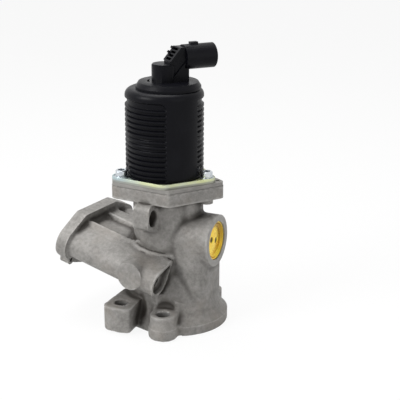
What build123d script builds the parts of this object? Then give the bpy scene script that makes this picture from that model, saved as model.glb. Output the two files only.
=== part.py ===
"""Exhaust gas recirculation valve: a linear solenoid lifts a poppet inside a cast housing.

Frame: origin at the centre of the outlet bore in the base face, +Z up along the valve stem,
+X towards the plugged core hole.  All lengths are in millimetres, all angles in degrees.
"""
from build123d import *
from math import asin, atan2, cos, hypot, radians, sin, sqrt
import os

# ---------------------------------------------------------------- fits
RUN_GAP = 0.05          # radial running clearance of guided parts
SEAT_GAP = 0.12         # gap between the closed poppet and its seat cone
SLIP_GAP = 0.02         # radial clearance of static spigots

# ---------------------------------------------------------------- valve axis and travel
VALVE_X = -8.5          # valve axis, measured from the outlet axis
LIFT = 5.0              # full poppet travel

# ---------------------------------------------------------------- base flange
BASE_R = 32.0
BASE_T = 7.0
OUTLET_R = 21.0
OUTLET_DEPTH = 15.0
BOLT_CIRCLE_R = 32.8
BOLT_ANGLES = {"front": -84.8, "back": 73.2, "left": 157.2}
BOLT_HOLE_R = 4.5       # clearance hole for M8
LOBE_R = 9.3
SPOT_R = 9.2            # spot face for a bolt head
BOSS_R = 8.3
BOSS_TOP = 15.2         # the front boss stands this high
EAR = (-25.8, -31.1)
EAR_CORNERS = (         # circles that the ear's outline wraps
    (-30.5, -36.2, 4.5), (-23.5, -39.3, 2.2), (-18.4, -38.6, 2.2),
    (-18.4, -12.0, 2.2), (-28.5, -12.0, 4.5),
)
EAR_LOW = 1.0
EAR_TOP = 17.4

# ---------------------------------------------------------------- housing body
FOOT_R = 26.4           # round foot about the outlet axis
FOOT_CROWN = 24.0       # height of its slanted top at the outlet axis
FOOT_FALL = 0.38        # drop of that top per millimetre towards +X
FLARE_TIP_R, FLARE_TOP = 15.0, 42.0  # upper end of the cone that leads the column down to the foot
NECK_R = 20.0
CHAMBER_R = 15.5
CHAMBER_TOP = 68.0
PORT_YAW = -4.0
PORT_Z = 55.6
PORT_FACE = 27.1        # machined face, measured along the port from the outlet axis
PORT_R = 16.4
COLUMN_FACE = 24.8      # front of the column that carries the port
COLUMN_CORNER_R = 8.0
PLUG_R = 12.2
PLUG_SET_BACK = 0.7
PLUG_DISH = 1.7         # depth of the dish in its outer face
PLUG_WALL = 1.4
PLUG_DEPTH = 7.0
DIMPLE_R, DIMPLE_DEPTH, DIMPLE_APART = 1.5, 0.8, 5.2
BUTTRESS_X = 5.4
BUTTRESS_R = 11.0
COLLAR = (-10.0, 0.0)   # collar round the neck where the arm's roof meets it
COLLAR_R = 22.0
SIDE_BOSS = (-6.0, -24.4, 73.6)
SIDE_BOSS_CORNERS = (   # circles that its section wraps, (across, up, radius)
    (3.0, 5.6, 3.6), (-3.6, 5.2, 3.2), (-4.6, -3.4, 3.2), (2.0, -6.2, 3.6), (6.0, -4.0, 3.0),
)
SIDE_BOSS_L = 10.5
SIDE_BOSS_BORE_R = 5.4
SIDE_BOSS_BORE_AT = -1.0   # bore beside the boss's centre, away from the neck
SIDE_BOSS_BORE_DEPTH = 8.0

# ---------------------------------------------------------------- inlet arm
ARM_YAW = 10.4          # from -X towards +Y
ARM_RISE = 12.4
ARM_FACE = (-64.3, 7.2, 49.8)
ARM_FLANGE_T = 7.5
ARM_HALF_PITCH = 26.4   # half the distance between the inlet bolts
ARM_TUBE_R = 8.8
ARM_ROOF = 12.4         # height of the duct's roof above the arm's axis
ARM_REACH = 54.0        # length of the duct from the flange face into the body
NEAR_TUBE_L = 72.3
FAR_TUBE_L = 28.0
POCKET_FROM, POCKET_TO = ARM_FLANGE_T, 50.0   # shallow pocket along the roof
POCKET_NEAR, POCKET_FAR = -14.4, 4.0          # and across it
POCKET_DEPTH = 1.3
BEAD = 1.1              # height of the cast beads on the roof
RECESS_DEPTH = 4.0
PAD_AT = NEAR_TUBE_L - 16.9   # round pad on the near tube, measured from the flange face
PAD_R = 8.8
PAD_PROUD = 0.6
LUG = (-28.7, -11.2)     # small drilled lug under the inlet flange, across and up
LUG_R = 3.3
LUG_HOLE_R, LUG_HOLE_DEPTH = 1.4, 4.0

# ---------------------------------------------------------------- flange stack under the solenoid
NECK_TOP = 82.5         # underside of the upper cast flange
FLANGE_T = 8.0
SPACER_T = 2.5
PLATE_T = 2.0
PLATE_CORNER = (-0.5, -21.2)   # round front corner of the clamp plate
PLATE_CORNER_R = 6.3
PLATE_LUG_R = (5.7, 4.9, 5.8)  # lugs round the left, right and back screws
PLATE_LUG_SHIFT = 0.3          # right lug's centre beside its screw
PLATE_MARGIN = 1.4             # plate beyond the cover's ribs
FLANGE_LUG_R = (6.0, 6.2)      # cast flange round the left and back screws
FLANGE_FRONT = (4.6, -26.0, 1.8)   # its front corner, (x, y, radius)
FLANGE_RIGHT = (25.4, 2.6, 3.6)    # and its right end
FLANGE_MARGIN = 0.6            # flange beyond the cover's ribs
SPACER_INSET = 0.3             # spacer's edge inside the flange's
LIP_W, LIP_H = 1.0, 1.1        # lip raised along the plate's rim
SCREW_R = 2.5           # M5
SCREW_HEAD_R = 3.6
SCREW_HEAD_H = 3.8
SCREW_WASHER_R = 4.4
SCREW_BOSS_R = 4.0
SCREW_WASHER_T = 0.9
SCREW_HEX = 4.0         # across the flats of the socket
SCREW_CLEARANCE = 0.25  # radial, round the heads and through the plates
SCREW_BOSS_DROP = 3.2   # the right screw boss hangs this far below the flange
SCREW_SITES = ((-30.5, -16.9), (19.6, -1.0), (-17.0, 26.6))
TOP_POCKET_R = 16.0
TOP_POCKET_DEPTH = 6.5
SPACER_BORE_R = 7.5
PIN_HOLE = (25.0, 3.6)  # locating hole through the spacer
PIN_HOLE_R = 1.2

# ---------------------------------------------------------------- valve train
SEAT_BOTTOM = 17.0
SEAT_T = 6.0
SEAT_R = 14.0
SEAT_BORE_R = 10.5
SEAT_CONE = 1.6         # 45 degree seat width
HEAD_CHAMFER = 0.8      # poppet's cone below the seat's inner edge
HEAD_LIP, HEAD_RIM_T = 0.4, 1.2   # its rim above the seat, and the rim's thickness
HEAD_SOCKET = 1.0       # stem's seat in the poppet, above the rim's foot
HEAD_BACK = (           # tulip back, (radius, level above the rim's foot)
    (9.4, 2.0), (6.6, 3.1), (4.6, 4.6), (3.8, 6.0),
)
HEAD_TOP = 6.4
STEM_R = 3.0
GUIDE_R = 6.5
GUIDE_BOTTOM = 63.0
SEAL_FLOOR = 1.5        # stem seal's seat above the neck's top
SEAL_OUT, SEAL_T = 8.0, 3.0
SEAL_CUP_R, SEAL_CUP_WALL = 9.5, 0.9
ARMATURE_R = 9.0
ARMATURE_LOW = 2.5      # armature bottom above the plate
ARMATURE_L = 24.5
ARMATURE_CUP_R = 5.6
ARMATURE_CUP_DEPTH = 10.0
SPRING_WASHER_T = 1.0
CLIP_T = 0.8
CLIP_R = 4.1
STEM_TIP = 1.2          # stem end above the clip

# ---------------------------------------------------------------- solenoid
TUBE_WALL = 0.5
TUBE_LIP_R = 11.9       # lip at the foot of the guide tube
TUBE_LIP_GAP = 0.1      # radial, round that lip in the plate
POLE_T = 3.5
POLE_COLLAR = 9.0
COLLAR_WALL = 1.5
CORE_R = 11.0           # core above the armature
BOBBIN_WALL = 1.2
BOBBIN_CHEEK = 1.5
COIL_GAP = 0.3          # winding set in from the bobbin cheeks' rims
COVER_WALL = 1.2        # cover's wall between its ribs
YOKE_WALL = 1.5
STROKE_GAP = 0.3        # air left between armature and pole at full lift
TOP_POLE_T = 4.0
TOP_POLE_Z = 139.5      # underside of the top pole plate
SPRING_WIRE = 0.45      # wire radius
SPRING_TURNS = 7
PLUNGER_R = 1.9

# ---------------------------------------------------------------- black cover
COVER_R = 23.2
YOKE_R = COVER_R - COVER_WALL
RIB_H = 1.0
RIB_PITCH = 3.15
RIB_COUNT = 14
RIB_FIRST = 3.4         # first rib above the plate
COVER_H = 54.5
COVER_FILLET = 4.0
COVER_HOLE_R = 10.0
SCREW_RELIEF_H = 7.5    # height of the hollows in its foot for the screw heads
PANEL_FROM, PANEL_TO = -66.0, -12.0   # smooth panel, angles about the valve axis
PANEL_LOW, PANEL_HIGH = 1.5, 48.5     # its levels above the plate
SEAL_R = 15.0
SEAL_WIRE = 0.9

# ---------------------------------------------------------------- sensor cap and connector
CAP = (-6.0, 0.5)       # the lid sits a little off the valve axis
CAP_R, CAP_TOP_R = 20.0, 18.3
CAP_T = 4.0
TOWER_R = 7.7
TOWER_H = 10.6
TOWER_WALL = 1.3
TOWER_ROOF = 1.6
CONNECTOR_YAW = 46.0
CONNECTOR_SHIFT = 2.0   # connector axis beside the valve axis
CONNECTOR_Z = 167.4
SHROUD_R = 7.6
SHROUD_WALL = 1.3
SHROUD_ROOT = 11.3      # back of the round shroud, along the connector
BLOCK_HALF = 5.4        # half width over the slanted block's side ribs
BLOCK_RIB = 1.1         # ribs' thickness and how far they stand out
BLOCK_UPPER = ((0.9, 166.0), (7.8, 173.9))    # slope of the upper ribs, (along, level)
BLOCK_LOWER = ((1.8, 155.1), (12.1, 166.4))   # slope of the lower ribs
BLOCK_END = 13.7
CELL_COUNT, CELL_WALL, CELL_DEPTH = 4, 0.8, 2.6   # open cells down the slope
LID_SLOT_R, LID_SLOT_W, LID_SLOT_DEPTH = 9.2, 1.2, 0.8
LID_SLOT_FROM, LID_SLOT_TO = 178.0, 226.0     # its angles about the valve axis
KEY_W, KEY_H, KEY_L = 3.2, 2.6, 5.0           # key on top of the shroud
KEY_AT = 18.5                                 # its middle, along the connector
SHROUD_MOUTH = 31.5
SHROUD_DEPTH = 15.0
PIN_L = 8.0
PIN_W, PIN_T = 1.5, 0.7
PIN_PITCH = 2.2
PIN_TAIL = 2.5
SLIDER_R = 3.9
SLIDER_H = 3.5
SLIDER_LOW = 0.5        # slider's foot above the cover
SLIDER_FLAT = 3.4       # its flat, from the valve axis
WIPER_T, WIPER_W = 1.15, 2.4
BOARD_GAP = 0.05        # between wiper and board
BOARD_T, BOARD_W, BOARD_L = 0.9, 5.6, 12.0
SENSOR_SPRING_R, SENSOR_SPRING_WIRE, SENSOR_SPRING_TURNS = 2.9, 0.3, 5

# ---------------------------------------------------------------- levels that follow
FLANGE_TOP = NECK_TOP + FLANGE_T
SPACER_TOP = FLANGE_TOP + SPACER_T
PLATE_TOP = SPACER_TOP + PLATE_T
SEAT_TOP = SEAT_BOTTOM + SEAT_T
SPRING_STOP = TOP_POLE_Z - 0.5   # the return spring's upper seat
COVER_TOP = PLATE_TOP + COVER_H
CAP_TOP = COVER_TOP + CAP_T
TOWER_TOP = CAP_TOP + TOWER_H
ARMATURE_BOTTOM = PLATE_TOP + ARMATURE_LOW
ARMATURE_TOP = ARMATURE_BOTTOM + ARMATURE_L
CUP_FLOOR = ARMATURE_TOP - ARMATURE_CUP_DEPTH
POLE_FACE = ARMATURE_TOP + LIFT + STROKE_GAP
TUBE_R = ARMATURE_R + RUN_GAP
TUBE_OUT = TUBE_R + TUBE_WALL
YOKE_IN = YOKE_R - YOKE_WALL
TOP_POLE_TOP = TOP_POLE_Z + TOP_POLE_T
STEM_TOP = CUP_FLOOR + SPRING_WASHER_T + CLIP_T + STEM_TIP
VALVE = (VALVE_X, 0.0)


# ---------------------------------------------------------------- small helpers
def disc(radius, low, high, at=(0.0, 0.0)):
    """Upright cylinder between two levels."""
    return Pos(at[0], at[1], (low + high) / 2) * Cylinder(radius, high - low)


def tube(outer, inner, low, high, at=(0.0, 0.0)):
    """Upright cylinder with a bore right through."""
    return disc(outer, low, high, at) - disc(inner, low, high, at)


def turned(points, at=VALVE):
    """Body of revolution about an upright axis, from (radius, level) points."""
    profile = make_face(Polyline([(r, 0, z) for r, z in points], close=True))
    return Pos(at[0], at[1], 0) * revolve(profile, Axis.Z)


def wrapped(circles):
    """Flat outline that wraps (x, y, radius) circles like a belt."""
    order = []
    for step in range(720):
        turn = radians(step / 2)
        reach = [x * cos(turn) + y * sin(turn) + radius for x, y, radius in circles]
        widest = reach.index(max(reach))
        if not order or order[-1] != widest:
            order.append(widest)
    if order[0] == order[-1]:
        order.pop()
    loop = [circles[index] for index in order]
    normals = []
    for (x0, y0, r0), (x1, y1, r1) in zip(loop, loop[1:] + loop[:1]):
        across = atan2(y1 - y0, x1 - x0) - radians(90)
        normals.append(across + asin((r0 - r1) / hypot(x1 - x0, y1 - y0)))
    edges = []
    for index, (x, y, radius) in enumerate(loop):
        start = normals[index - 1]
        end = start + (normals[index] - start) % radians(360)
        on_arc = [
            (x + radius * cos(turn), y + radius * sin(turn))
            for turn in (start, (start + end) / 2, end)
        ]
        x1, y1, r1 = loop[(index + 1) % len(loop)]
        edges.append(ThreePointArc(*on_arc))
        edges.append(Line(on_arc[2], (x1 + r1 * cos(end), y1 + r1 * sin(end))))
    return make_face(edges)


def slab(circles, low, high):
    """Plate between two levels with a wrapped outline."""
    return Pos(0, 0, low) * extrude(wrapped(circles), high - low)


def rod(plane, radius, start, end, at=(0.0, 0.0)):
    """Cylinder along a plane's normal, from start to end."""
    return plane * Pos(at[0], at[1], (start + end) / 2) * Cylinder(radius, end - start)


def polar(radius, angle, centre=(0.0, 0.0)):
    """Point at a radius and an angle about a centre."""
    return centre[0] + radius * cos(radians(angle)), centre[1] + radius * sin(radians(angle))


def arm_plane():
    """Plane in the inlet face: x across the bolt holes, y up, z into the housing."""
    yaw, rise = radians(ARM_YAW), radians(ARM_RISE)
    inward = (cos(yaw) * cos(rise), -sin(yaw) * cos(rise), -sin(rise))
    return Plane(origin=ARM_FACE, x_dir=(sin(yaw), cos(yaw), 0), z_dir=inward)


def port_plane():
    """Upright plane through the outlet axis with its normal along the plugged port."""
    yaw = radians(PORT_YAW)
    return Plane(origin=(0, 0, PORT_Z), x_dir=(-sin(yaw), cos(yaw), 0), z_dir=(cos(yaw), sin(yaw), 0))


def connector_plane(along=0.0):
    """Upright plane square to the connector: x across it, y up, z towards its mouth."""
    yaw = radians(CONNECTOR_YAW)
    x = VALVE_X + CONNECTOR_SHIFT * sin(yaw) + along * cos(yaw)
    y = -CONNECTOR_SHIFT * cos(yaw) + along * sin(yaw)
    across = (-sin(yaw), cos(yaw), 0)
    return Plane(origin=(x, y, CONNECTOR_Z), x_dir=across, z_dir=(cos(yaw), sin(yaw), 0))


def spring(radius, wire, low, high, turns, at=VALVE):
    """Compression spring: a six-sided wire swept along a helix, ends held inside its length."""
    path = Helix(pitch=(high - low - 2 * wire) / turns, height=high - low - 2 * wire, radius=radius)
    start = Plane(origin=path @ 0, x_dir=(1, 0, 0), z_dir=path % 0)
    coil = sweep(start * RegularPolygon(wire, 6), path, is_frenet=True)
    return Pos(at[0], at[1], low + wire) * coil


# ---------------------------------------------------------------- cast housing
def base_flange():
    """Round base that flares up through the foot into the column, with a lobe at each bolt."""
    base = turned([
        (0, 0), (BASE_R, 0), (BASE_R, BASE_T - 1.2), (BASE_R - 1.4, BASE_T + 0.3), (29.0, BASE_T + 2.2),
        (FOOT_R + 0.8, BASE_T + 5.2), (FOOT_R - 0.5, BASE_T + 11.0), (FLARE_TIP_R, FLARE_TOP),
        (0, FLARE_TOP),
    ], (0, 0))
    for angle in BOLT_ANGLES.values():
        base += disc(LOBE_R, 0, BASE_T, polar(BOLT_CIRCLE_R, angle))
    return base


def foot():
    """Round foot whose top slants up towards the inlet arm."""
    reach = FOOT_R + 2
    side = Polyline([
        (-reach, BASE_T), (reach, BASE_T), (reach, FOOT_CROWN - FOOT_FALL * reach),
        (-reach, FOOT_CROWN + FOOT_FALL * reach),
    ], close=True)
    slanted = extrude(Plane.XZ * make_face(side), reach, both=True)
    return disc(FOOT_R, BASE_T, FOOT_CROWN + FOOT_FALL * reach) & slanted


def base_bosses():
    """Tall bolt boss at the front and the flat topped ear beside it."""
    front = polar(BOLT_CIRCLE_R, BOLT_ANGLES["front"])
    boss = slab([(front[0], front[1], BOSS_R), (front[0] * 0.5, front[1] * 0.5, BOSS_R)], 0, BOSS_TOP)
    return boss + slab(EAR_CORNERS, EAR_LOW, EAR_TOP)


def drilled_base():
    """Base, foot and bosses with their bolt holes and spot faces."""
    base = base_flange() + foot() + base_bosses()
    for name, angle in BOLT_ANGLES.items():
        site = polar(BOLT_CIRCLE_R, angle)
        top = BOSS_TOP if name == "front" else BASE_T
        base -= disc(SPOT_R, top, FOOT_CROWN, site)
        base -= disc(BOLT_HOLE_R, 0, top, site)
    return base - disc(BOLT_HOLE_R, 0, EAR_TOP, EAR)


def port_boss():
    """Side port on its rounded column, both turned by the port's yaw."""
    back = VALVE_X
    depth = COLUMN_FACE - back
    section = RectangleRounded(depth, 2 * PORT_R, COLUMN_CORNER_R)
    column = Pos(back + depth / 2, 0, BASE_T) * extrude(section, PORT_Z - BASE_T)
    return Rot(0, 0, PORT_YAW) * column + rod(port_plane(), PORT_R, 0, PORT_FACE)


def neck():
    """Round neck round the valve, with a buttress towards the port."""
    high = NECK_TOP + 1
    return disc(NECK_R, BASE_T, high, VALVE) + disc(BUTTRESS_R, PORT_Z, high, (BUTTRESS_X, 0))


def under_roof(height):
    """Everything below the plane at a height above the arm's axis."""
    reach = 70.0
    return arm_plane() * Pos(0, height - reach, 50) * Box(2 * reach, 2 * reach, 3 * reach)


def collar():
    """Collar round the neck, cut off level with the arm's roof and edged with a bead."""
    body = disc(COLLAR_R, BASE_T, 75, COLLAR) & under_roof(ARM_ROOF + 0.4)
    plane = arm_plane()
    middle = plane.to_local_coords(Vector(COLLAR[0], COLLAR[1], 0))
    climb = (ARM_ROOF - middle.Y) * plane.y_dir.Z
    seat = Vector(COLLAR[0], COLLAR[1], 0) + Vector(0, 0, climb / plane.y_dir.Z ** 2)
    ring = make_face(Polyline([
        (COLLAR_R - 2.4, -1), (COLLAR_R + 0.7, -1), (COLLAR_R + 0.7, 0.2), (COLLAR_R, BEAD),
        (COLLAR_R - 1.4, BEAD), (COLLAR_R - 2.4, 0.2),
    ], close=True))
    bead = revolve(Plane.XZ * ring, Axis.Z)
    return body + Plane(origin=seat, x_dir=plane.x_dir, z_dir=plane.y_dir) * bead


def flange_outline(edge=0.0):
    """Circles that the upper flange wraps; edge shrinks the outline."""
    left, _, back = SCREW_SITES
    circles = [
        (left[0], left[1], FLANGE_LUG_R[0]), FLANGE_FRONT, FLANGE_RIGHT,
        (back[0], back[1], FLANGE_LUG_R[1]), (VALVE_X, 0.0, COVER_R + RIB_H + FLANGE_MARGIN),
    ]
    return [(x, y, radius - edge) for x, y, radius in circles]


def upper_flange():
    """Flange for the solenoid, with the right screw boss hanging below it."""
    flange = slab(flange_outline(), NECK_TOP, FLANGE_TOP)
    return flange + disc(SCREW_BOSS_R, NECK_TOP - SCREW_BOSS_DROP, NECK_TOP + 1, SCREW_SITES[1])


def arm_outline():
    """Wrapped circles of the inlet flange."""
    half = ARM_HALF_PITCH
    return [
        (-half, 0.0, 11.2), (half, 0.0, 11.2), (-18.6, 14.0, 4.0), (12.6, 13.0, 5.0),
        (-22.5, -9.0, 6.0), (-5.0, -14.0, 7.0), (6.0, -14.0, 7.0),
    ]


def inlet_arm():
    """Slanted arm: diamond flange, duct, the long bolt tube, the round pad and the roof's bead."""
    plane = arm_plane()
    half = ARM_HALF_PITCH
    near_tube = (-half, 0.0, ARM_TUBE_R)
    roof_edge = (-16.6, ARM_ROOF - 1.7, 1.7)
    arm = plane * extrude(wrapped(arm_outline()), ARM_FLANGE_T)
    arm += rod(plane, LUG_R, 1.0, ARM_FLANGE_T, LUG)
    duct = [roof_edge, (13.5, ARM_ROOF - 4.0, 4.0), (-13.5, -10.6, 5.4), (11.5, -10.6, 5.4)]
    arm += plane * extrude(wrapped(duct), ARM_REACH)
    arm += plane * extrude(wrapped([near_tube, roof_edge, (-11.0, -3.0, 5.0)]), ARM_REACH + 8)
    arm += plane * extrude(wrapped([near_tube, roof_edge]), NEAR_TUBE_L)
    arm += rod(plane, ARM_TUBE_R, 0, FAR_TUBE_L, (half, 0))
    arm += rod(plane, BEAD, 3, ARM_REACH - 6, (roof_edge[0], ARM_ROOF - 0.3))
    pad = Plane(origin=plane.from_local_coords((-half, 1.0, PAD_AT)), z_dir=-plane.x_dir)
    return arm + rod(pad, PAD_R, 0, ARM_TUBE_R + PAD_PROUD)


def arm_cuts():
    """Duct passage, the shallow roof pocket, bolt holes and the teardrop recess."""
    plane = arm_plane()
    half = ARM_HALF_PITCH
    passage = [(-12.5, 6.8, 2.5), (11.5, 6.5, 2.5), (-12.5, -10.5, 2.5), (11.0, -10.5, 2.5)]
    cuts = plane * extrude(wrapped(passage), ARM_REACH + 4)
    pocket = Box(POCKET_FAR - POCKET_NEAR, 4 * POCKET_DEPTH, POCKET_TO - POCKET_FROM)
    middle = ((POCKET_NEAR + POCKET_FAR) / 2, ARM_ROOF + POCKET_DEPTH, (POCKET_FROM + POCKET_TO) / 2)
    cuts += plane * Pos(middle) * pocket
    cuts += rod(plane, BOLT_HOLE_R, 0, NEAR_TUBE_L, (-half, 0))
    cuts += rod(plane, BOLT_HOLE_R, 0, FAR_TUBE_L, (half, 0))
    cuts += rod(plane, LUG_HOLE_R, ARM_FLANGE_T - LUG_HOLE_DEPTH, ARM_FLANGE_T, LUG)
    recess = wrapped([(-half, 0, ARM_TUBE_R - 1.8), (-17.6, 9.2, 0.9)])
    return cuts + plane * Pos(0, 0, NEAR_TUBE_L - RECESS_DEPTH) * extrude(recess, RECESS_DEPTH)


def side_boss():
    """Many sided boss under the upper flange at the front, parallel to the port, and its bore."""
    yaw = radians(PORT_YAW)
    plane = Plane(origin=SIDE_BOSS, x_dir=(-sin(yaw), cos(yaw), 0), z_dir=(cos(yaw), sin(yaw), 0))
    boss = plane * Pos(0, 0, -SIDE_BOSS_L) * extrude(wrapped(SIDE_BOSS_CORNERS), SIDE_BOSS_L)
    return boss, rod(plane, SIDE_BOSS_BORE_R, -SIDE_BOSS_BORE_DEPTH, 0, (SIDE_BOSS_BORE_AT, 0))


def housing():
    """Cast aluminium housing with every bore."""
    boss, boss_bore = side_boss()
    cast = drilled_base() + neck() + port_boss() + collar() + upper_flange()
    cast += inlet_arm()
    cast += boss
    cast -= disc(OUTLET_R, 0, OUTLET_DEPTH)
    cast -= disc(SEAT_BORE_R + 1, 0, SEAT_BOTTOM, VALVE)
    cast -= disc(SEAT_R + SLIP_GAP, SEAT_BOTTOM, SEAT_TOP, VALVE)
    cast -= disc(CHAMBER_R, SEAT_TOP, CHAMBER_TOP, VALVE)
    cast -= disc(GUIDE_R + SLIP_GAP, CHAMBER_TOP - 1, FLANGE_TOP, VALVE)
    cast -= disc(TOP_POCKET_R, FLANGE_TOP - TOP_POCKET_DEPTH, FLANGE_TOP, VALVE)
    cast -= rod(port_plane(), PLUG_R + SLIP_GAP, VALVE_X, PORT_FACE)
    cast -= arm_cuts()
    cast -= boss_bore
    for site in SCREW_SITES:
        cast -= disc(SCREW_R, NECK_TOP - SCREW_BOSS_DROP, FLANGE_TOP, site)
    return cast


def core_plug():
    """Sealing plug pressed into the side port: a cup with a shallow dish and two dimples outside."""
    plane = port_plane()
    front = PORT_FACE - PLUG_SET_BACK
    floor = front - PLUG_DISH
    plug = rod(plane, PLUG_R, front - PLUG_DEPTH, front)
    plug -= rod(plane, PLUG_R - PLUG_WALL, front - PLUG_DEPTH, floor - PLUG_WALL)
    plug -= rod(plane, PLUG_R - PLUG_WALL, floor, front)
    for side in (-DIMPLE_APART / 2, DIMPLE_APART / 2):
        plug -= rod(plane, DIMPLE_R, floor - DIMPLE_DEPTH, floor, (side, 0))
    return plug


# ---------------------------------------------------------------- valve train
def valve_seat():
    """Hardened seat ring at the foot of the chamber."""
    return turned([
        (SEAT_BORE_R, SEAT_BOTTOM), (SEAT_R, SEAT_BOTTOM), (SEAT_R, SEAT_TOP),
        (SEAT_BORE_R + SEAT_CONE, SEAT_TOP), (SEAT_BORE_R, SEAT_TOP - SEAT_CONE),
    ])


def seat_cone(level):
    """Radius of the poppet's cone at a level, clear of the seat by the seat gap."""
    return SEAT_BORE_R + level - (SEAT_TOP - SEAT_CONE) - SEAT_GAP * sqrt(2)


def valve_head():
    """Poppet with a 45 degree cone and a tulip back, bored for the stem."""
    low, rim = SEAT_TOP - SEAT_CONE - HEAD_CHAMFER, SEAT_TOP + HEAD_LIP
    back = [(radius, rim + rise) for radius, rise in HEAD_BACK]
    return turned([
        (0, low), (seat_cone(low), low), (seat_cone(rim), rim), (seat_cone(rim), rim + HEAD_RIM_T),
    ] + back + [
        (STEM_R, rim + HEAD_TOP), (STEM_R, rim + HEAD_SOCKET), (0, rim + HEAD_SOCKET),
    ])


def valve_stem():
    """Ground stem from the poppet up through the armature to the sensor."""
    low = SEAT_TOP + HEAD_LIP + HEAD_SOCKET
    return turned([
        (0, low), (STEM_R, low), (STEM_R, CUP_FLOOR + SPRING_WASHER_T),
        (STEM_R - 0.5, CUP_FLOOR + SPRING_WASHER_T), (STEM_R - 0.5, STEM_TOP - 0.4),
        (STEM_R - 0.9, STEM_TOP), (0, STEM_TOP),
    ])


def guide_bush():
    """Stem guide pressed into the housing."""
    return tube(GUIDE_R, STEM_R + RUN_GAP, GUIDE_BOTTOM, NECK_TOP + SEAL_FLOOR, VALVE)


def stem_seal():
    """Soft ring that keeps soot out of the solenoid."""
    low = NECK_TOP + SEAL_FLOOR
    return turned([
        (STEM_R + RUN_GAP, low), (SEAL_OUT, low), (SEAL_OUT, low + SEAL_T),
        (STEM_R + 1.2, low + SEAL_T), (STEM_R + RUN_GAP, low + SEAL_T - 0.8),
    ])


def seal_cup():
    """Pressed cup that holds the stem seal on the pocket floor."""
    low = NECK_TOP + SEAL_FLOOR
    high = low + SEAL_T + SEAL_CUP_WALL
    return turned([
        (SEAL_OUT + SLIP_GAP, low), (SEAL_CUP_R, low), (SEAL_CUP_R, high), (STEM_R + 1.4, high),
        (STEM_R + 1.4, low + SEAL_T), (SEAL_OUT + SLIP_GAP, low + SEAL_T),
    ])


def armature():
    """Moving iron core on the stem, cupped at the top for the return spring."""
    return turned([
        (STEM_R, ARMATURE_BOTTOM), (ARMATURE_R - 0.6, ARMATURE_BOTTOM),
        (ARMATURE_R, ARMATURE_BOTTOM + 0.6), (ARMATURE_R, ARMATURE_TOP - 0.6),
        (ARMATURE_R - 0.6, ARMATURE_TOP), (ARMATURE_CUP_R, ARMATURE_TOP),
        (ARMATURE_CUP_R, CUP_FLOOR), (STEM_R, CUP_FLOOR),
    ])


def spring_washer():
    """Washer under the return spring."""
    return tube(ARMATURE_CUP_R - 0.1, STEM_R, CUP_FLOOR, CUP_FLOOR + SPRING_WASHER_T, VALVE)


def stem_clip():
    """Retaining ring in the groove at the top of the stem."""
    low = CUP_FLOOR + SPRING_WASHER_T
    return tube(CLIP_R, STEM_R - 0.5, low, low + CLIP_T, VALVE)


# ---------------------------------------------------------------- flange stack
def stack_holes():
    """Screw clearance holes through the plates on the flange."""
    holes = disc(SCREW_R + SCREW_CLEARANCE, FLANGE_TOP, PLATE_TOP, SCREW_SITES[0])
    for site in SCREW_SITES[1:]:
        holes += disc(SCREW_R + SCREW_CLEARANCE, FLANGE_TOP, PLATE_TOP, site)
    return holes


def spacer_plate():
    """Grey spacer that seals the flange under the solenoid."""
    plate = slab(flange_outline(SPACER_INSET), FLANGE_TOP, SPACER_TOP)
    plate -= disc(SPACER_BORE_R, FLANGE_TOP, SPACER_TOP, VALVE)
    return plate - stack_holes() - disc(PIN_HOLE_R, FLANGE_TOP, SPACER_TOP, PIN_HOLE)


def plate_outline(edge=0.0):
    """Circles that the clamp plate wraps; edge shrinks the outline."""
    left, right, back = SCREW_SITES
    circles = [
        (left[0], left[1], PLATE_LUG_R[0]),
        (PLATE_CORNER[0], PLATE_CORNER[1], PLATE_CORNER_R),
        (right[0] + PLATE_LUG_SHIFT, right[1], PLATE_LUG_R[1]),
        (back[0], back[1], PLATE_LUG_R[2]),
        (VALVE_X, 0.0, COVER_R + RIB_H + PLATE_MARGIN),
    ]
    return [(x, y, radius - edge) for x, y, radius in circles]


def mount_plate():
    """Zinc plated plate that clamps the solenoid: a raised lip, counterbored for the guide tube's lip."""
    plate = slab(plate_outline(), SPACER_TOP, PLATE_TOP + LIP_H)
    plate -= slab(plate_outline(LIP_W), PLATE_TOP, PLATE_TOP + LIP_H)
    for site in SCREW_SITES:
        plate -= disc(SCREW_WASHER_R + SCREW_CLEARANCE, PLATE_TOP, PLATE_TOP + LIP_H, site)
    plate -= disc(TUBE_OUT + SLIP_GAP, SPACER_TOP, PLATE_TOP, VALVE)
    plate -= disc(TUBE_LIP_R + TUBE_LIP_GAP, SPACER_TOP, SPACER_TOP + TUBE_WALL, VALVE)
    return plate - stack_holes()


def flange_screws():
    """Three socket screws with washers that hold the solenoid to the housing."""
    screws = []
    for x, y in SCREW_SITES:
        head_low = PLATE_TOP + SCREW_WASHER_T
        screw = turned([
            (0, NECK_TOP + 0.4), (SCREW_R - 0.4, NECK_TOP + 0.4), (SCREW_R - SLIP_GAP, NECK_TOP + 1.0),
            (SCREW_R - SLIP_GAP, PLATE_TOP), (SCREW_WASHER_R, PLATE_TOP), (SCREW_WASHER_R, head_low),
            (SCREW_HEAD_R, head_low), (SCREW_HEAD_R, head_low + SCREW_HEAD_H - 0.5),
            (SCREW_HEAD_R - 0.5, head_low + SCREW_HEAD_H), (0, head_low + SCREW_HEAD_H),
        ], (x, y))
        socket = RegularPolygon(SCREW_HEX / 2, 6, major_radius=False)
        screw -= Pos(x, y, head_low + SCREW_HEAD_H - 2.5) * extrude(socket, 2.5)
        screws.append(screw)
    return Compound(screws)


# ---------------------------------------------------------------- solenoid
def guide_tube():
    """Thin brass tube that guides the armature, lipped at its foot."""
    return turned([
        (TUBE_R, SPACER_TOP), (TUBE_LIP_R, SPACER_TOP), (TUBE_LIP_R, SPACER_TOP + TUBE_WALL),
        (TUBE_OUT, SPACER_TOP + TUBE_WALL), (TUBE_OUT, POLE_FACE), (TUBE_R, POLE_FACE),
    ])


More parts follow.
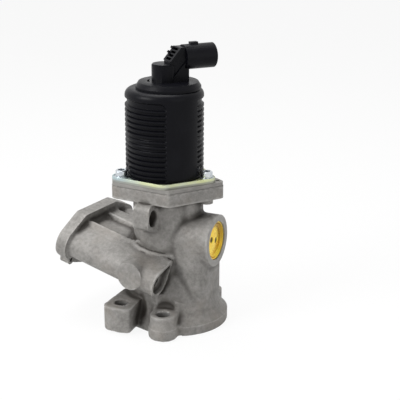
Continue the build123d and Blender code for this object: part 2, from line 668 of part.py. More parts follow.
def lower_pole():
    """Iron washer and collar that lead the flux into the armature."""
    inner, outer = TUBE_OUT + SLIP_GAP, YOKE_IN - SLIP_GAP
    return turned([
        (inner, PLATE_TOP), (outer, PLATE_TOP), (outer, PLATE_TOP + POLE_T),
        (inner + COLLAR_WALL, PLATE_TOP + POLE_T), (inner + COLLAR_WALL, PLATE_TOP + POLE_COLLAR),
        (inner, PLATE_TOP + POLE_COLLAR),
    ])


def upper_pole():
    """Iron plate and core above the armature, bored for the spring and the plunger."""
    return turned([
        (ARMATURE_CUP_R + 0.1, POLE_FACE), (CORE_R, POLE_FACE), (CORE_R, TOP_POLE_Z),
        (YOKE_IN - SLIP_GAP, TOP_POLE_Z), (YOKE_IN - SLIP_GAP, TOP_POLE_TOP),
        (PLUNGER_R + 0.4, TOP_POLE_TOP), (PLUNGER_R + 0.4, SPRING_STOP),
        (ARMATURE_CUP_R + 0.1, SPRING_STOP),
    ])


def yoke():
    """Steel sleeve round the coil that closes the magnetic circuit."""
    return tube(YOKE_R, YOKE_IN, PLATE_TOP, TOP_POLE_TOP, VALVE)


def coil_bobbin():
    """Moulded bobbin with two cheeks."""
    low, high, inner = PLATE_TOP + POLE_T, TOP_POLE_Z, TUBE_OUT + COLLAR_WALL + 2 * SLIP_GAP
    wall, rim = inner + BOBBIN_WALL, YOKE_IN - 1.0
    return turned([
        (inner, low), (rim, low), (rim, low + BOBBIN_CHEEK), (wall, low + BOBBIN_CHEEK),
        (wall, high - BOBBIN_CHEEK), (rim, high - BOBBIN_CHEEK), (rim, high), (inner, high),
    ])


def coil_winding():
    """Copper winding as one solid ring on the bobbin."""
    inner = TUBE_OUT + COLLAR_WALL + 2 * SLIP_GAP + BOBBIN_WALL
    low, high = PLATE_TOP + POLE_T + BOBBIN_CHEEK, TOP_POLE_Z - BOBBIN_CHEEK
    return tube(YOKE_IN - 1.0 - COIL_GAP, inner, low, high, VALVE)


def return_spring():
    """Compression spring that closes the valve."""
    low = CUP_FLOOR + SPRING_WASHER_T
    return spring(ARMATURE_CUP_R - SPRING_WIRE - 0.25, SPRING_WIRE, low, SPRING_STOP, SPRING_TURNS)


# ---------------------------------------------------------------- black cover
def cover_rib(level):
    """One rib round the cover, with drafted flanks."""
    return turned([
        (COVER_R - 0.6, level - 1.2), (COVER_R + RIB_H, level - 0.5), (COVER_R + RIB_H, level + 0.5),
        (COVER_R - 0.6, level + 1.2),
    ])


def wedge(start, end, low, high):
    """Upright wedge about the valve axis between two angles."""
    reach = 40.0
    first, last = polar(reach, start), polar(reach, end)
    face = make_face(Polyline([(0, 0), first, last], close=True))
    return Pos(VALVE_X, 0, low) * extrude(face, high - low)


def solenoid_cover():
    """Ribbed plastic cover over the coil, with one smooth panel and a round shoulder."""
    low, high, fillet_r = PLATE_TOP, COVER_TOP, COVER_FILLET
    shoulder = [
        (COVER_R + RIB_H - fillet_r * (1 - cos(radians(a))), high - fillet_r * (1 - sin(radians(a))))
        for a in (0, 30, 60, 90)
    ]
    profile = [
        (YOKE_R + SLIP_GAP, low), (COVER_R + 0.6, low), (COVER_R + 0.6, low + 1.2),
        (COVER_R, low + 1.6),
        (COVER_R, high - fillet_r - 2.0), (COVER_R + RIB_H, high - fillet_r - 1.2),
    ]
    cover = turned(profile + shoulder + [
        (COVER_HOLE_R, high), (COVER_HOLE_R, TOP_POLE_TOP), (YOKE_R + SLIP_GAP, TOP_POLE_TOP),
    ])
    ribs = cover_rib(low + RIB_FIRST)
    for index in range(1, RIB_COUNT):
        ribs += cover_rib(low + RIB_FIRST + index * RIB_PITCH)
    ribs -= wedge(PANEL_FROM, PANEL_TO, low, high)
    panel = tube(COVER_R + RIB_H, COVER_R - 0.6, low + PANEL_LOW, low + PANEL_HIGH, VALVE)
    panel &= wedge(PANEL_FROM, PANEL_TO, low, high)
    cover += ribs
    cover += panel
    groove = SEAL_WIRE + 0.05
    cover -= tube(SEAL_R + groove, SEAL_R - groove, high - 2 * SEAL_WIRE, high, VALVE)
    for site in SCREW_SITES:
        cover -= disc(SCREW_WASHER_R + SCREW_CLEARANCE, low, low + SCREW_RELIEF_H, site)
    return cover


def cap_seal():
    """Ring seal between the cover and the sensor cap, drawn eight sided."""
    corners = [polar(SEAL_WIRE / cos(radians(22.5)), 22.5 + 45 * step) for step in range(8)]
    return turned([(SEAL_R + x, COVER_TOP - SEAL_WIRE + y) for x, y in corners])


# ---------------------------------------------------------------- sensor cap
def block_profile(points, half, plane):
    """Side profile in (along the connector, level) points, spread across the connector."""
    face = make_face(Polyline([(0, z - CONNECTOR_Z, u) for u, z in points], close=True))
    return plane * extrude(face, half, dir=(1, 0, 0), both=True)


def slope_bar(slope, start, end, low, high):
    """Points of a bar along a slope; start and end run along it, low and high across it, downwards."""
    (u0, z0), (u1, z1) = slope
    length = hypot(u1 - u0, z1 - z0)
    along, down = ((u1 - u0) / length, (z1 - z0) / length), ((z1 - z0) / length, (u0 - u1) / length)
    corners = ((start, low), (end, low), (end, high), (start, high))
    return [(u0 + a * along[0] + d * down[0], z0 + a * along[1] + d * down[1]) for a, d in corners]


def slope_length(slope):
    """Length of a slope."""
    return hypot(slope[1][0] - slope[0][0], slope[1][1] - slope[0][1])


def connector_block():
    """Slanted block between tower and shroud: narrower core, two ribs a side, open cells and knobs."""
    plane = connector_plane()
    top, bottom = BLOCK_UPPER[1], BLOCK_LOWER[0]
    core = [BLOCK_UPPER[0], top, (BLOCK_END, top[1]), (BLOCK_END, CAP_TOP), (bottom[0], CAP_TOP)]
    block = block_profile(core, BLOCK_HALF - BLOCK_RIB, plane)
    for slope in (BLOCK_UPPER, BLOCK_LOWER):
        bar = slope_bar(slope, 0, slope_length(slope), 0, BLOCK_RIB)
        block += block_profile(bar, BLOCK_HALF, plane)
    length = slope_length(BLOCK_UPPER)
    for share in (0.45, 0.78):
        knob = slope_bar(BLOCK_UPPER, share * length, share * length + 1.5, -BLOCK_RIB, BLOCK_RIB)
        block += block_profile(knob, 0.7, connector_plane() * Pos(BLOCK_HALF - 0.7, 0, 0))
    pitch = (length - CELL_WALL) / CELL_COUNT
    tower = disc(TOWER_R, COVER_TOP, TOWER_TOP, VALVE)
    for index in range(CELL_COUNT):
        start = CELL_WALL + index * pitch
        cell = slope_bar(BLOCK_UPPER, start, start + pitch - CELL_WALL, -1, CELL_DEPTH)
        block -= block_profile(cell, BLOCK_HALF - 2 * BLOCK_RIB, plane) - tower
    return block


def sensor_cap():
    """Lid, sensor tower and round connector moulded as one piece."""
    lid = turned([
        (0, COVER_TOP), (CAP_R, COVER_TOP), (CAP_R, COVER_TOP + 1.4),
        (CAP_TOP_R, CAP_TOP), (0, CAP_TOP),
    ], CAP)
    tower = disc(TOWER_R, CAP_TOP, TOWER_TOP - 0.6, VALVE)
    tower += disc(TOWER_R - 0.5, CAP_TOP, TOWER_TOP, VALVE)
    slot = tube(LID_SLOT_R + LID_SLOT_W, LID_SLOT_R, CAP_TOP - LID_SLOT_DEPTH, CAP_TOP, VALVE)
    plane = connector_plane()
    cap = lid - (slot & wedge(LID_SLOT_FROM, LID_SLOT_TO, CAP_TOP - LID_SLOT_DEPTH, CAP_TOP))
    cap += tower + connector_block()
    cap += rod(plane, SHROUD_R, SHROUD_ROOT, SHROUD_MOUTH)
    cap += plane * Pos(0, SHROUD_R, KEY_AT) * Box(KEY_W, KEY_H, KEY_L)
    cap -= rod(plane, SHROUD_R - SHROUD_WALL, SHROUD_MOUTH - SHROUD_DEPTH, SHROUD_MOUTH)
    cap -= disc(TOWER_R - TOWER_WALL, COVER_TOP, TOWER_TOP - TOWER_ROOF, VALVE)
    return cap - pins(SLIP_GAP)


def pins(gap=0.0):
    """Row of connector pins; gap grows them into their moulded slots."""
    plane = connector_plane()
    tip = SHROUD_MOUTH - SHROUD_DEPTH + PIN_L
    length = PIN_L + PIN_TAIL
    row = []
    for index in range(-2, 3):
        pin = Box(PIN_W + 2 * gap, PIN_T + 2 * gap, length)
        row.append(plane * Pos(index * PIN_PITCH, 0, tip - length / 2) * pin)
    return Compound(row)


def sensor_board():
    """Resistor board of the travel sensor, in the tower beside the plunger."""
    middle = VALVE_X + SLIDER_FLAT + WIPER_T + BOARD_GAP + BOARD_T / 2
    return Pos(middle, 0, TOWER_TOP - TOWER_ROOF - BOARD_L / 2) * Box(BOARD_T, BOARD_W, BOARD_L)


def sensor_slider():
    """Plunger that follows the stem's end up and down."""
    low = COVER_TOP + SLIDER_LOW
    slider = turned([
        (0, STEM_TOP), (PLUNGER_R, STEM_TOP), (PLUNGER_R, low), (SLIDER_R, low),
        (SLIDER_R, low + SLIDER_H), (0, low + SLIDER_H),
    ])
    return slider - Pos(VALVE_X + SLIDER_FLAT + 1, 0, low + SLIDER_H / 2) * Box(2, 10, SLIDER_H)


def wiper():
    """Contact strip on the plunger's flat."""
    middle = VALVE_X + SLIDER_FLAT + WIPER_T / 2
    level = COVER_TOP + SLIDER_LOW + SLIDER_H / 2
    return Pos(middle, 0, level) * Box(WIPER_T, WIPER_W, SLIDER_H - 1.0)


def sensor_spring():
    """Light spring that keeps the plunger on the stem."""
    low, high = COVER_TOP + SLIDER_LOW + SLIDER_H, TOWER_TOP - TOWER_ROOF
    return spring(SENSOR_SPRING_R, SENSOR_SPRING_WIRE, low, high, SENSOR_SPRING_TURNS)


MODEL = {
    "housing": housing, "core_plug": core_plug, "valve_seat": valve_seat, "valve_head": valve_head,
    "valve_stem": valve_stem, "guide_bush": guide_bush, "stem_seal": stem_seal, "seal_cup": seal_cup,
    "armature": armature, "spring_washer": spring_washer, "stem_clip": stem_clip,
    "spacer_plate": spacer_plate, "mount_plate": mount_plate, "flange_screws": flange_screws,
    "guide_tube": guide_tube, "lower_pole": lower_pole, "upper_pole": upper_pole, "yoke": yoke,
    "coil_bobbin": coil_bobbin, "coil_winding": coil_winding, "return_spring": return_spring,
    "solenoid_cover": solenoid_cover, "cap_seal": cap_seal, "sensor_cap": sensor_cap,
    "terminals": pins, "sensor_board": sensor_board, "sensor_slider": sensor_slider,
    "wiper": wiper, "sensor_spring": sensor_spring,
}


def main():
    """Build every node and write it as a STEP file."""
    os.makedirs("parts", exist_ok=True)
    for name, make in MODEL.items():
        solid = make()
        solid.label = name
        export_step(solid, f"parts/{name}.step")
        box = solid.bounding_box()
        print(f"{name:15s} {solid.volume:10.1f} {len(solid.solids())} {solid.is_valid} "
              f"x {box.min.X:.1f} {box.max.X:.1f} y {box.min.Y:.1f} {box.max.Y:.1f} "
              f"z {box.min.Z:.2f} {box.max.Z:.2f}")


if __name__ == "__main__":
    main()
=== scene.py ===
"""Dresses the packed exhaust gas recirculation valve and sets its studio.

Every length in the functions below is in millimetres in the valve's own frame and is turned into
metres where a mesh is made.  Origin at the outlet bore's centre in the base face, +Z up.
"""

import math

import bmesh
import bpy
import numpy as np
from bpy.props import FloatProperty, FloatVectorProperty, IntProperty, PointerProperty
from mathutils import Matrix, Vector
from mathutils.bvhtree import BVHTree
from mathutils.kdtree import KDTree


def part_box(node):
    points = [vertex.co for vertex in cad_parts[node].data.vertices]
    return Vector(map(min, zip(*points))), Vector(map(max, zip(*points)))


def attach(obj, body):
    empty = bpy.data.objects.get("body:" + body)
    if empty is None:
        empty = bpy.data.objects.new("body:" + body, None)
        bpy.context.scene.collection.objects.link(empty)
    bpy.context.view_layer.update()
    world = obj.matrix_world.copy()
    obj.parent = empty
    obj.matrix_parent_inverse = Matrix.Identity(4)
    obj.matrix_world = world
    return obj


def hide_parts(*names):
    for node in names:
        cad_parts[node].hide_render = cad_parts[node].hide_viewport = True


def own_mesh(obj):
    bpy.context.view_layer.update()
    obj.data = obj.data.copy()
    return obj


bl_info = {
    "name": "Exhaust Gas Valve Dresser",
    "version": (1, 0, 0),
    "blender": (4, 5, 0),
    "location": "3D View > Sidebar > Gas Valve",
    "description": "Cast housing, ribbed cover, plug, springs, finishes and studio of an exhaust gas valve",
    "category": "Object",
}

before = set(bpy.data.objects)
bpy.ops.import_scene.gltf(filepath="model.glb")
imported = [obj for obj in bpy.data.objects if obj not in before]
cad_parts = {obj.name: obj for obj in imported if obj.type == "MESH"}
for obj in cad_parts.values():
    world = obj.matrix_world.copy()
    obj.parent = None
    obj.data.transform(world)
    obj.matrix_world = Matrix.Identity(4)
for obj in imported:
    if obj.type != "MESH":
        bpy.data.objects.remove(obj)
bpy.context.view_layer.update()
MM = 0.001
UP = np.array([0.0, 0.0, 1.0])

VALVE = np.array([-8.5, 0.0])
PLATE_TOP, COVER_TOP = (corner.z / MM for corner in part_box("solenoid_cover"))
FLANGE_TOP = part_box("housing")[1].z / MM
COVER_R, YOKE_R = ((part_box(node)[1].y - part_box(node)[0].y) / MM / 2 for node in ("solenoid_cover", "yoke"))

ARM_YAW, ARM_RISE = math.radians(10.4), math.radians(12.4)
ARM_FACE = np.array([-64.3, 7.2, 49.8])
ARM_INWARD = np.array([
    math.cos(ARM_YAW) * math.cos(ARM_RISE), -math.sin(ARM_YAW) * math.cos(ARM_RISE), -math.sin(ARM_RISE),
])
ARM_ACROSS = np.array([math.sin(ARM_YAW), math.cos(ARM_YAW), 0.0])
ARM_UP = np.cross(ARM_INWARD, ARM_ACROSS)
PORT_YAW = math.radians(-4.0)
PORT_OUT = np.array([math.cos(PORT_YAW), math.sin(PORT_YAW), 0.0])
PORT_SIDE = np.array([-math.sin(PORT_YAW), math.cos(PORT_YAW), 0.0])
PORT_FACE, PORT_Z = 27.1, 55.6
SCREW_SITES = ((-30.5, -16.9), (19.6, -1.0), (-17.0, 26.6))
EDGE_TURN = 28.0                # degrees between two faces from which their edge counts


# ---- meshes from arrays
def lattice(points, around=True, along=False):
    """Quads over a grid of points; a direction that closes joins its last row to its first."""
    rows, columns = points.shape[:2]
    index = np.arange(rows * columns).reshape(rows, columns)
    if along:
        index = np.vstack([index, index[:1]])
    if around:
        index = np.hstack([index, index[:, :1]])
    quads = np.stack([index[:-1, :-1], index[:-1, 1:], index[1:, 1:], index[1:, :-1]], axis=-1)
    return points.reshape(-1, 3), quads.reshape(-1, 4)


def mesh_object(name, points, quads, crease=35.0):
    """Object at the origin whose mesh holds the points, in millimetres, with faces turned outwards."""
    mesh = bpy.data.meshes.new(name)
    mesh.from_pydata((points * MM).tolist(), [], quads.tolist())
    mend(mesh)
    return placed(name, mesh, crease)


def mend(mesh, reach=1e-7):
    """Merges doubles, drops empty faces and turns the normals outwards."""
    work = bmesh.new()
    work.from_mesh(mesh)
    bmesh.ops.remove_doubles(work, verts=work.verts, dist=reach)
    bmesh.ops.dissolve_degenerate(work, edges=work.edges, dist=reach)
    bmesh.ops.recalc_face_normals(work, faces=work.faces)
    work.to_mesh(mesh)
    work.free()


def placed(name, mesh, crease):
    """Links an object for a mesh, smooth but for edges sharper than the crease angle."""
    mesh.shade_smooth()
    mesh.set_sharp_from_angle(angle=math.radians(crease))
    piece = bpy.data.objects.new(name, mesh)
    bpy.context.scene.collection.objects.link(piece)
    return piece


def points_of(mesh):
    """Places of a mesh's vertices, in millimetres."""
    points = np.zeros(len(mesh.vertices) * 3)
    mesh.vertices.foreach_get("co", points)
    return points.reshape(-1, 3) / MM


def set_points(mesh, points):
    """Moves a mesh's vertices to places in millimetres."""
    mesh.vertices.foreach_set("co", (points * MM).ravel())


def store(mesh, name, values):
    """Keeps a value per vertex under a name that materials can read."""
    mesh.attributes.new(name, "FLOAT", "POINT").data.foreach_set("value", values.astype(np.float32))


def turned(name, profile, centre, basis, steps, crease):
    """Profile of (radius, height) pairs carried once round an axis.

    A point is centre + radius cos(a) first + radius sin(a) second + height axis.
    """
    angle = np.linspace(0, 2 * np.pi, steps, endpoint=False)
    first, second, axis = basis
    ring = np.cos(angle)[:, None] * first + np.sin(angle)[:, None] * second
    points = centre + profile[:, 0, None, None] * ring + profile[:, 1, None, None] * axis
    return mesh_object(name, *lattice(points), crease=crease)


def evenly(profile, number):
    """Profile with a number of points at even steps of its length."""
    profile = np.array(profile, float)
    share = np.concatenate([[0.0], np.cumsum(np.hypot(*np.diff(profile, axis=0).T))])
    share = share / share[-1]
    return np.stack([np.interp(np.linspace(0, 1, number), share, column) for column in profile.T], axis=1)


def bell(value, width):
    """Bell exp(-(value / width)^2)."""
    return np.exp(-((value / width) ** 2))


def rounded_step(value, width):
    """Smooth step from 0 to 1 over a width about 0."""
    share = np.clip(value / width + 0.5, 0, 1)
    return share * share * (3 - 2 * share)


def copied(node, name, reach=2e-6):
    """Copy of a packed node's mesh with its doubles merged and flat regions made single faces."""
    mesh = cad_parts[node].data.copy()
    mesh.name = name
    mesh.materials.clear()
    work = bmesh.new()
    work.from_mesh(mesh)
    bmesh.ops.remove_doubles(work, verts=work.verts, dist=reach)
    bmesh.ops.dissolve_limit(
        work, angle_limit=math.radians(0.6), verts=work.verts, edges=work.edges, use_dissolve_boundaries=False
    )
    work.to_mesh(mesh)
    work.free()
    return mesh


def eased(node, name, width):
    """Copy of a packed node with every edge rounded over by a bevel of that width."""
    piece = placed(name, copied(node, name), EDGE_TURN)
    bevel = piece.modifiers.new("eased edges", "BEVEL")
    bevel.width = width * MM
    bevel.segments = 2
    bevel.limit_method = "ANGLE"
    bevel.angle_limit = math.radians(EDGE_TURN)
    bevel.harden_normals = True
    bevel.use_clamp_overlap = True
    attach(piece, "valve_body")
    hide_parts(node)
    return piece


# ---- shader groups
SURFACE = ("Color", "Roughness", "Height")


def socket_label(name):
    """Socket's name for a keyword."""
    return name.replace("_", " ").title()


def shader_group(title, outputs, **inputs):
    """Empty shader group with a vector and named colours and floats; gives its tree and end sockets."""
    tree = bpy.data.node_groups.new(title, "ShaderNodeTree")
    tree.interface.new_socket("Vector", in_out="INPUT", socket_type="NodeSocketVector")
    for name, value in inputs.items():
        kind = "NodeSocketFloat" if isinstance(value, float) else "NodeSocketColor"
        socket = tree.interface.new_socket(socket_label(name), in_out="INPUT", socket_type=kind)
        socket.default_value = value
    for label in outputs:
        kind = "NodeSocketColor" if label == "Color" else "NodeSocketFloat"
        tree.interface.new_socket(label, in_out="OUTPUT", socket_type=kind)
    return tree, tree.nodes.new("NodeGroupInput").outputs, tree.nodes.new("NodeGroupOutput").inputs


def plug_in(tree, item, socket):
    """Links an output to a socket, or gives the socket a value."""
    if isinstance(item, bpy.types.NodeSocket):
        tree.links.new(item, socket)
    else:
        socket.default_value = item


def noise(tree, vector, scale, detail=4.0, rough=0.55):
    """Noise texture of a scale per metre on a vector."""
    node = tree.nodes.new("ShaderNodeTexNoise")
    node.inputs["Detail"].default_value = detail
    node.inputs["Roughness"].default_value = rough
    tree.links.new(vector, node.inputs["Vector"])
    plug_in(tree, scale, node.inputs["Scale"])
    return node.outputs["Fac"]


def spread(tree, value, low, high, to_low=0.0, to_high=1.0):
    """Map Range from low..high to to_low..to_high, clamped."""
    node = tree.nodes.new("ShaderNodeMapRange")
    tree.links.new(value, node.inputs["Value"])
    for label, number in zip(("From Min", "From Max", "To Min", "To Max"), (low, high, to_low, to_high)):
        node.inputs[label].default_value = number
    return node.outputs["Result"]


def mixed(tree, factor, first, second):
    """Colour mix of two colours or sockets by a factor socket or number."""
    node = tree.nodes.new("ShaderNodeMix")
    node.data_type = "RGBA"
    for label, kind, item in (("Factor", "VALUE", factor), ("A", "RGBA", first), ("B", "RGBA", second)):
        plug_in(tree, item, [s for s in node.inputs if s.name == label and s.type == kind][0])
    return [s for s in node.outputs if s.type == "RGBA"][0]


def combined(tree, operation, first, second):
    """Math node of two sockets or numbers."""
    node = tree.nodes.new("ShaderNodeMath")
    node.operation = operation
    for socket, item in zip(node.inputs, (first, second)):
        plug_in(tree, item, socket)
    return node.outputs[0]


def cast_grain_group():
    """Sand cast skin: mottled tone from broad noise, speckle and pits from fine noise."""
    tree, given, made = shader_group("Cast Grain", SURFACE, dark=(0.2, 0.19, 0.18, 1), grain_scale=1400.0,
                                     light=(0.5, 0.48, 0.45, 1), stain=(0.25, 0.2, 0.16, 1))
    vector = given["Vector"]
    fine = noise(tree, vector, given["Grain Scale"], 6.0, 0.7)
    broad = noise(tree, vector, 75.0, 5.0, 0.6)
    pits = noise(tree, vector, 430.0, 3.0, 0.6)
    tone = combined(tree, "ADD", spread(tree, broad, 0.3, 0.7, 0.0, 0.4),
                    spread(tree, fine, 0.32, 0.68, 0.0, 0.3))
    tone = combined(tree, "ADD", tone, spread(tree, pits, 0.35, 0.65, 0.0, 0.3))
    colour = mixed(tree, tone, given["Dark"], given["Light"])
    stain = noise(tree, vector, 42.0, 4.0, 0.6)
    stained = mixed(tree, spread(tree, stain, 0.5, 0.72, 0.0, 0.45), colour, given["Stain"])
    tree.links.new(stained, made["Color"])
    tree.links.new(spread(tree, fine, 0.3, 0.7, 0.5, 0.72), made["Roughness"])
    height = combined(tree, "ADD", fine, combined(tree, "MULTIPLY", spread(tree, pits, 0.35, 0.6), 0.8))
    tree.links.new(height, made["Height"])
    return tree


def wear_and_light_group():
    """Rubbed wear with painted edge highlights, and grime with painted shade in hollows, from a wear and
    painted light value: above 0 on edges, below 0 in hollows.
    """
    tree, given, made = shader_group("Edge Wear", ("Color",), color=(0.5, 0.5, 0.5, 1), wear=0.0,
                                     rubbed=(0.7, 0.68, 0.64, 1), grime=(0.08, 0.07, 0.06, 1))
    patchy = noise(tree, given["Vector"], 160.0, 4.0, 0.6)
    # Above 0 the colour goes in patches towards the rubbed colour: rubbed wear and a painted edge highlight.
    edge = combined(tree, "MULTIPLY", spread(tree, given["Wear"], 0.15, 0.7, 0.0, 0.8),
                    spread(tree, patchy, 0.35, 0.6, 0.35, 1.0))
    # Below 0 the colour goes towards the grime colour: grime and painted shade in hollows and creases.
    hollow = spread(tree, given["Wear"], -0.04, -0.75, 0.0, 0.92)
    rubbed = mixed(tree, edge, given["Color"], given["Rubbed"])
    tree.links.new(mixed(tree, hollow, rubbed, given["Grime"]), made["Color"])
    return tree


def plating_group():
    """Plated or turned metal: cloudy tint between two colours, and fine scratches."""
    tree, given, made = shader_group("Plating", SURFACE, first=(0.6, 0.6, 0.6, 1),
                                     second=(0.5, 0.5, 0.5, 1), cloud_scale=160.0, roughness=0.35)
    vector = given["Vector"]
    cloud = noise(tree, vector, given["Cloud Scale"], 5.0, 0.6)
    stretch = tree.nodes.new("ShaderNodeMapping")
    stretch.inputs["Scale"].default_value = (1.0, 1.0, 9.0)
    tree.links.new(vector, stretch.inputs["Vector"])
    scratch = noise(tree, stretch.outputs["Vector"], 900.0, 5.0, 0.7)
    colour = mixed(tree, spread(tree, cloud, 0.35, 0.65), given["First"], given["Second"])
    tree.links.new(colour, made["Color"])
    rough = combined(tree, "ADD", given["Roughness"], spread(tree, scratch, 0.3, 0.7, -0.08, 0.12))
    tree.links.new(rough, made["Roughness"])
    tree.links.new(scratch, made["Height"])
    return tree


def moulded_group():
    """Moulded plastic: spark eroded grain, faint flow clouds and dust that dulls the gloss."""
    tree, given, made = shader_group("Moulded Grain", SURFACE, color=(0.02, 0.02, 0.02, 1),
                                     dust=(0.06, 0.06, 0.065, 1), roughness=0.42)
    vector = given["Vector"]
    grain = noise(tree, vector, 2600.0, 2.0, 0.5)
    cloud = noise(tree, vector, 90.0, 5.0, 0.65)
    dull = spread(tree, cloud, 0.5, 0.78, 0.0, 0.35)
    tree.links.new(mixed(tree, dull, given["Color"], given["Dust"]), made["Color"])
    rough = combined(tree, "ADD", given["Roughness"], spread(tree, cloud, 0.3, 0.7, -0.06, 0.1))
    tree.links.new(rough, made["Roughness"])
    tree.links.new(grain, made["Height"])
    return tree


GROUPS = {}


def group_node(tree, maker, **values):
    """Outputs of a shared group, made at its first use, placed in a material with its own values."""
    if maker not in GROUPS:
        GROUPS[maker] = maker()
    node = tree.nodes.new("ShaderNodeGroup")
    node.node_tree = GROUPS[maker]
    tree.links.new(tree.nodes.new("ShaderNodeTexCoord").outputs["Object"], node.inputs["Vector"])
    for name, value in values.items():
        plug_in(tree, value, node.inputs[socket_label(name)])
    return node.outputs


# ---- materials
def new_material(title):
    """Material with a Principled shader; gives the material, its tree and the shader."""
    material = bpy.data.materials.new(title)
    material.use_nodes = True
    return material, material.node_tree, material.node_tree.nodes["Principled BSDF"]


def raised(tree, shader, height, depth):
    """Bump of a depth in millimetres from a height socket."""
    bump = tree.nodes.new("ShaderNodeBump")
    bump.inputs["Distance"].default_value = depth * MM
    tree.links.new(height, bump.inputs["Height"])
    tree.links.new(bump.outputs["Normal"], shader.inputs["Normal"])


def rgba(colour):
    """Colour with full alpha."""
    return (colour[0], colour[1], colour[2], 1.0)


def attribute(tree, name):
    """Factor of a mesh attribute."""
    node = tree.nodes.new("ShaderNodeAttribute")
    node.attribute_name = name
    return node.outputs["Fac"]


def cast_material(look):
    """As cast aluminium with brighter machined faces, rubbed edges with painted highlights, and grime with
    painted shade in hollows.
    """
    material, tree, shader = new_material("cast aluminium")
    skin = group_node(tree, cast_grain_group, dark=rgba(look.dark), light=rgba(look.light),
                      stain=rgba(look.stain), grain_scale=look.grain)
    # The wear attribute carries painted edge highlights and painted shade in hollows as well as rubbed wear
    # and grime.
    worn_and_shaded = group_node(tree, wear_and_light_group, color=skin["Color"], wear=attribute(tree, "wear"),
                      rubbed=rgba(look.rubbed), grime=rgba(look.grime))
    cut = group_node(tree, plating_group, first=rgba(look.machined), second=rgba(look.light),
                     cloud_scale=300.0, roughness=0.34)
    machined = attribute(tree, "machined")
    colour = mixed(tree, machined, worn_and_shaded["Color"], cut["Color"])
    tree.links.new(colour, shader.inputs["Base Color"])
    rough = tree.nodes.new("ShaderNodeMix")
    tree.links.new(machined, rough.inputs["Factor"])
    tree.links.new(skin["Roughness"], rough.inputs["A"])
    tree.links.new(cut["Roughness"], rough.inputs["B"])
    tree.links.new(rough.outputs["Result"], shader.inputs["Roughness"])
    tree.links.new(spread(tree, machined, 0.0, 1.0, 0.25, 0.8), shader.inputs["Metallic"])
    fade = combined(tree, "SUBTRACT", 1.0, combined(tree, "MULTIPLY", machined, 0.85))
    raised(tree, shader, combined(tree, "MULTIPLY", skin["Height"], fade), look.depth)
    return material


def skinned(title, maker, depth, **values):
    """Material whose colour, roughness and bump, of a depth in millimetres, come from a shared group."""
    material, tree, shader = new_material(title)
    skin = group_node(tree, maker, **values)
    tree.links.new(skin["Color"], shader.inputs["Base Color"])
    tree.links.new(skin["Roughness"], shader.inputs["Roughness"])
    raised(tree, shader, skin["Height"], depth)
    return material, shader


def metal_material(title, first, second, roughness, metallic, scratch, cloud=160.0):
    """Plated, ground or turned metal."""
    material, shader = skinned(title, plating_group, scratch, first=rgba(first), second=rgba(second),
                               cloud_scale=cloud, roughness=roughness)
    shader.inputs["Metallic"].default_value = metallic
    return material


def plastic_material(title, colour, dust, roughness, depth=0.012, gloss=0.5):
    """Moulded plastic, rubber or lacquer."""
    material, shader = skinned(title, moulded_group, depth, color=rgba(colour), dust=rgba(dust),
                               roughness=roughness)
    shader.inputs["Specular IOR Level"].default_value = gloss
    return material


def tint(material, factor, colour):
    """Mixes a colour over the material's own by a factor."""
    tree, shader = material.node_tree, material.node_tree.nodes["Principled BSDF"]
    own = shader.inputs["Base Color"].links[0].from_socket
    tree.links.new(mixed(tree, factor, own, colour), shader.inputs["Base Color"])


def finish(piece, material):
    """Gives a piece its material in its one slot."""
    piece.data.materials.clear()
    piece.data.materials.append(material)


# ---- settings
def paint(name, description, default):
    """Setting of a colour."""
    return FloatVectorProperty(name=name, description=description, subtype="COLOR", default=default,
                               min=0, max=1)


def amount(name, description, default, least=0.0, subtype="NONE"):
    """Setting of a number."""
    return FloatProperty(name=name, description=description, default=default, min=least, subtype=subtype)


class CastLook(bpy.types.PropertyGroup):
    """Skin of the cast housing."""

    light: paint("Light tone", "Bright patches of the casting", (0.345, 0.334, 0.317))
    dark: paint("Dark tone", "Dull patches of the casting", (0.12, 0.114, 0.106))
    stain: paint("Stain", "Brownish patches of the casting", (0.225, 0.195, 0.165))
    # Rubbed edge colour stands for rubbed wear and a painted edge highlight.
    rubbed: paint("Rubbed edge", "Colour where edges are rubbed bright", (0.50, 0.49, 0.47))
    # Grime colour stands for grime and painted shade in hollows and creases.
    grime: paint("Grime", "Colour in hollows", (0.03, 0.025, 0.02))
    machined: paint("Machined", "Colour of machined faces", (0.50, 0.495, 0.485))
    grain: amount("Grain scale", "Grains per metre", 1100.0, 100.0)
    depth: amount("Grain depth", "Depth of the grain in millimetres", 0.10)
    voxel: amount("Skin step", "Size of the skin's mesh in millimetres", 0.84, 0.4)
    shade: amount("Hollow shade", "How dark closed in places are", 2.5)
    rounds: IntProperty(name="Softening", description="Rounds of smoothing that blend the casting",
                        default=8, min=0)


class CoverLook(bpy.types.PropertyGroup):
    """Ribbed cover."""

    ribs: IntProperty(name="Ribs", description="Number of ribs", default=14, min=1)
    first: amount("First rib", "Height of the first rib in millimetres", 3.4)
    pitch: amount("Rib pitch", "Distance between ribs in millimetres", 3.15, 1.0)
    height: amount("Rib height", "How far ribs stand out in millimetres", 1.35)
    colour: paint("Plastic", "Colour of the black plastic", (0.0030, 0.0031, 0.0048))
    dust: paint("Dust", "Tone of dull patches", (0.0085, 0.0088, 0.0115))


class StudioLook(bpy.types.PropertyGroup):
    """Lamps, floor and camera."""

    key: amount("Key lamp", "Power of the key lamp", 5.9, subtype="POWER")
    fill: amount("Fill lamp", "Power of the fill lamp", 0.5, subtype="POWER")
    top: amount("Top lamp", "Power of the top lamp", 3.6, subtype="POWER")
    sky: amount("Sky", "Strength of the even light", 0.33)
    lens: amount("Lens", "Focal length in millimetres", 89.04, 10.0)


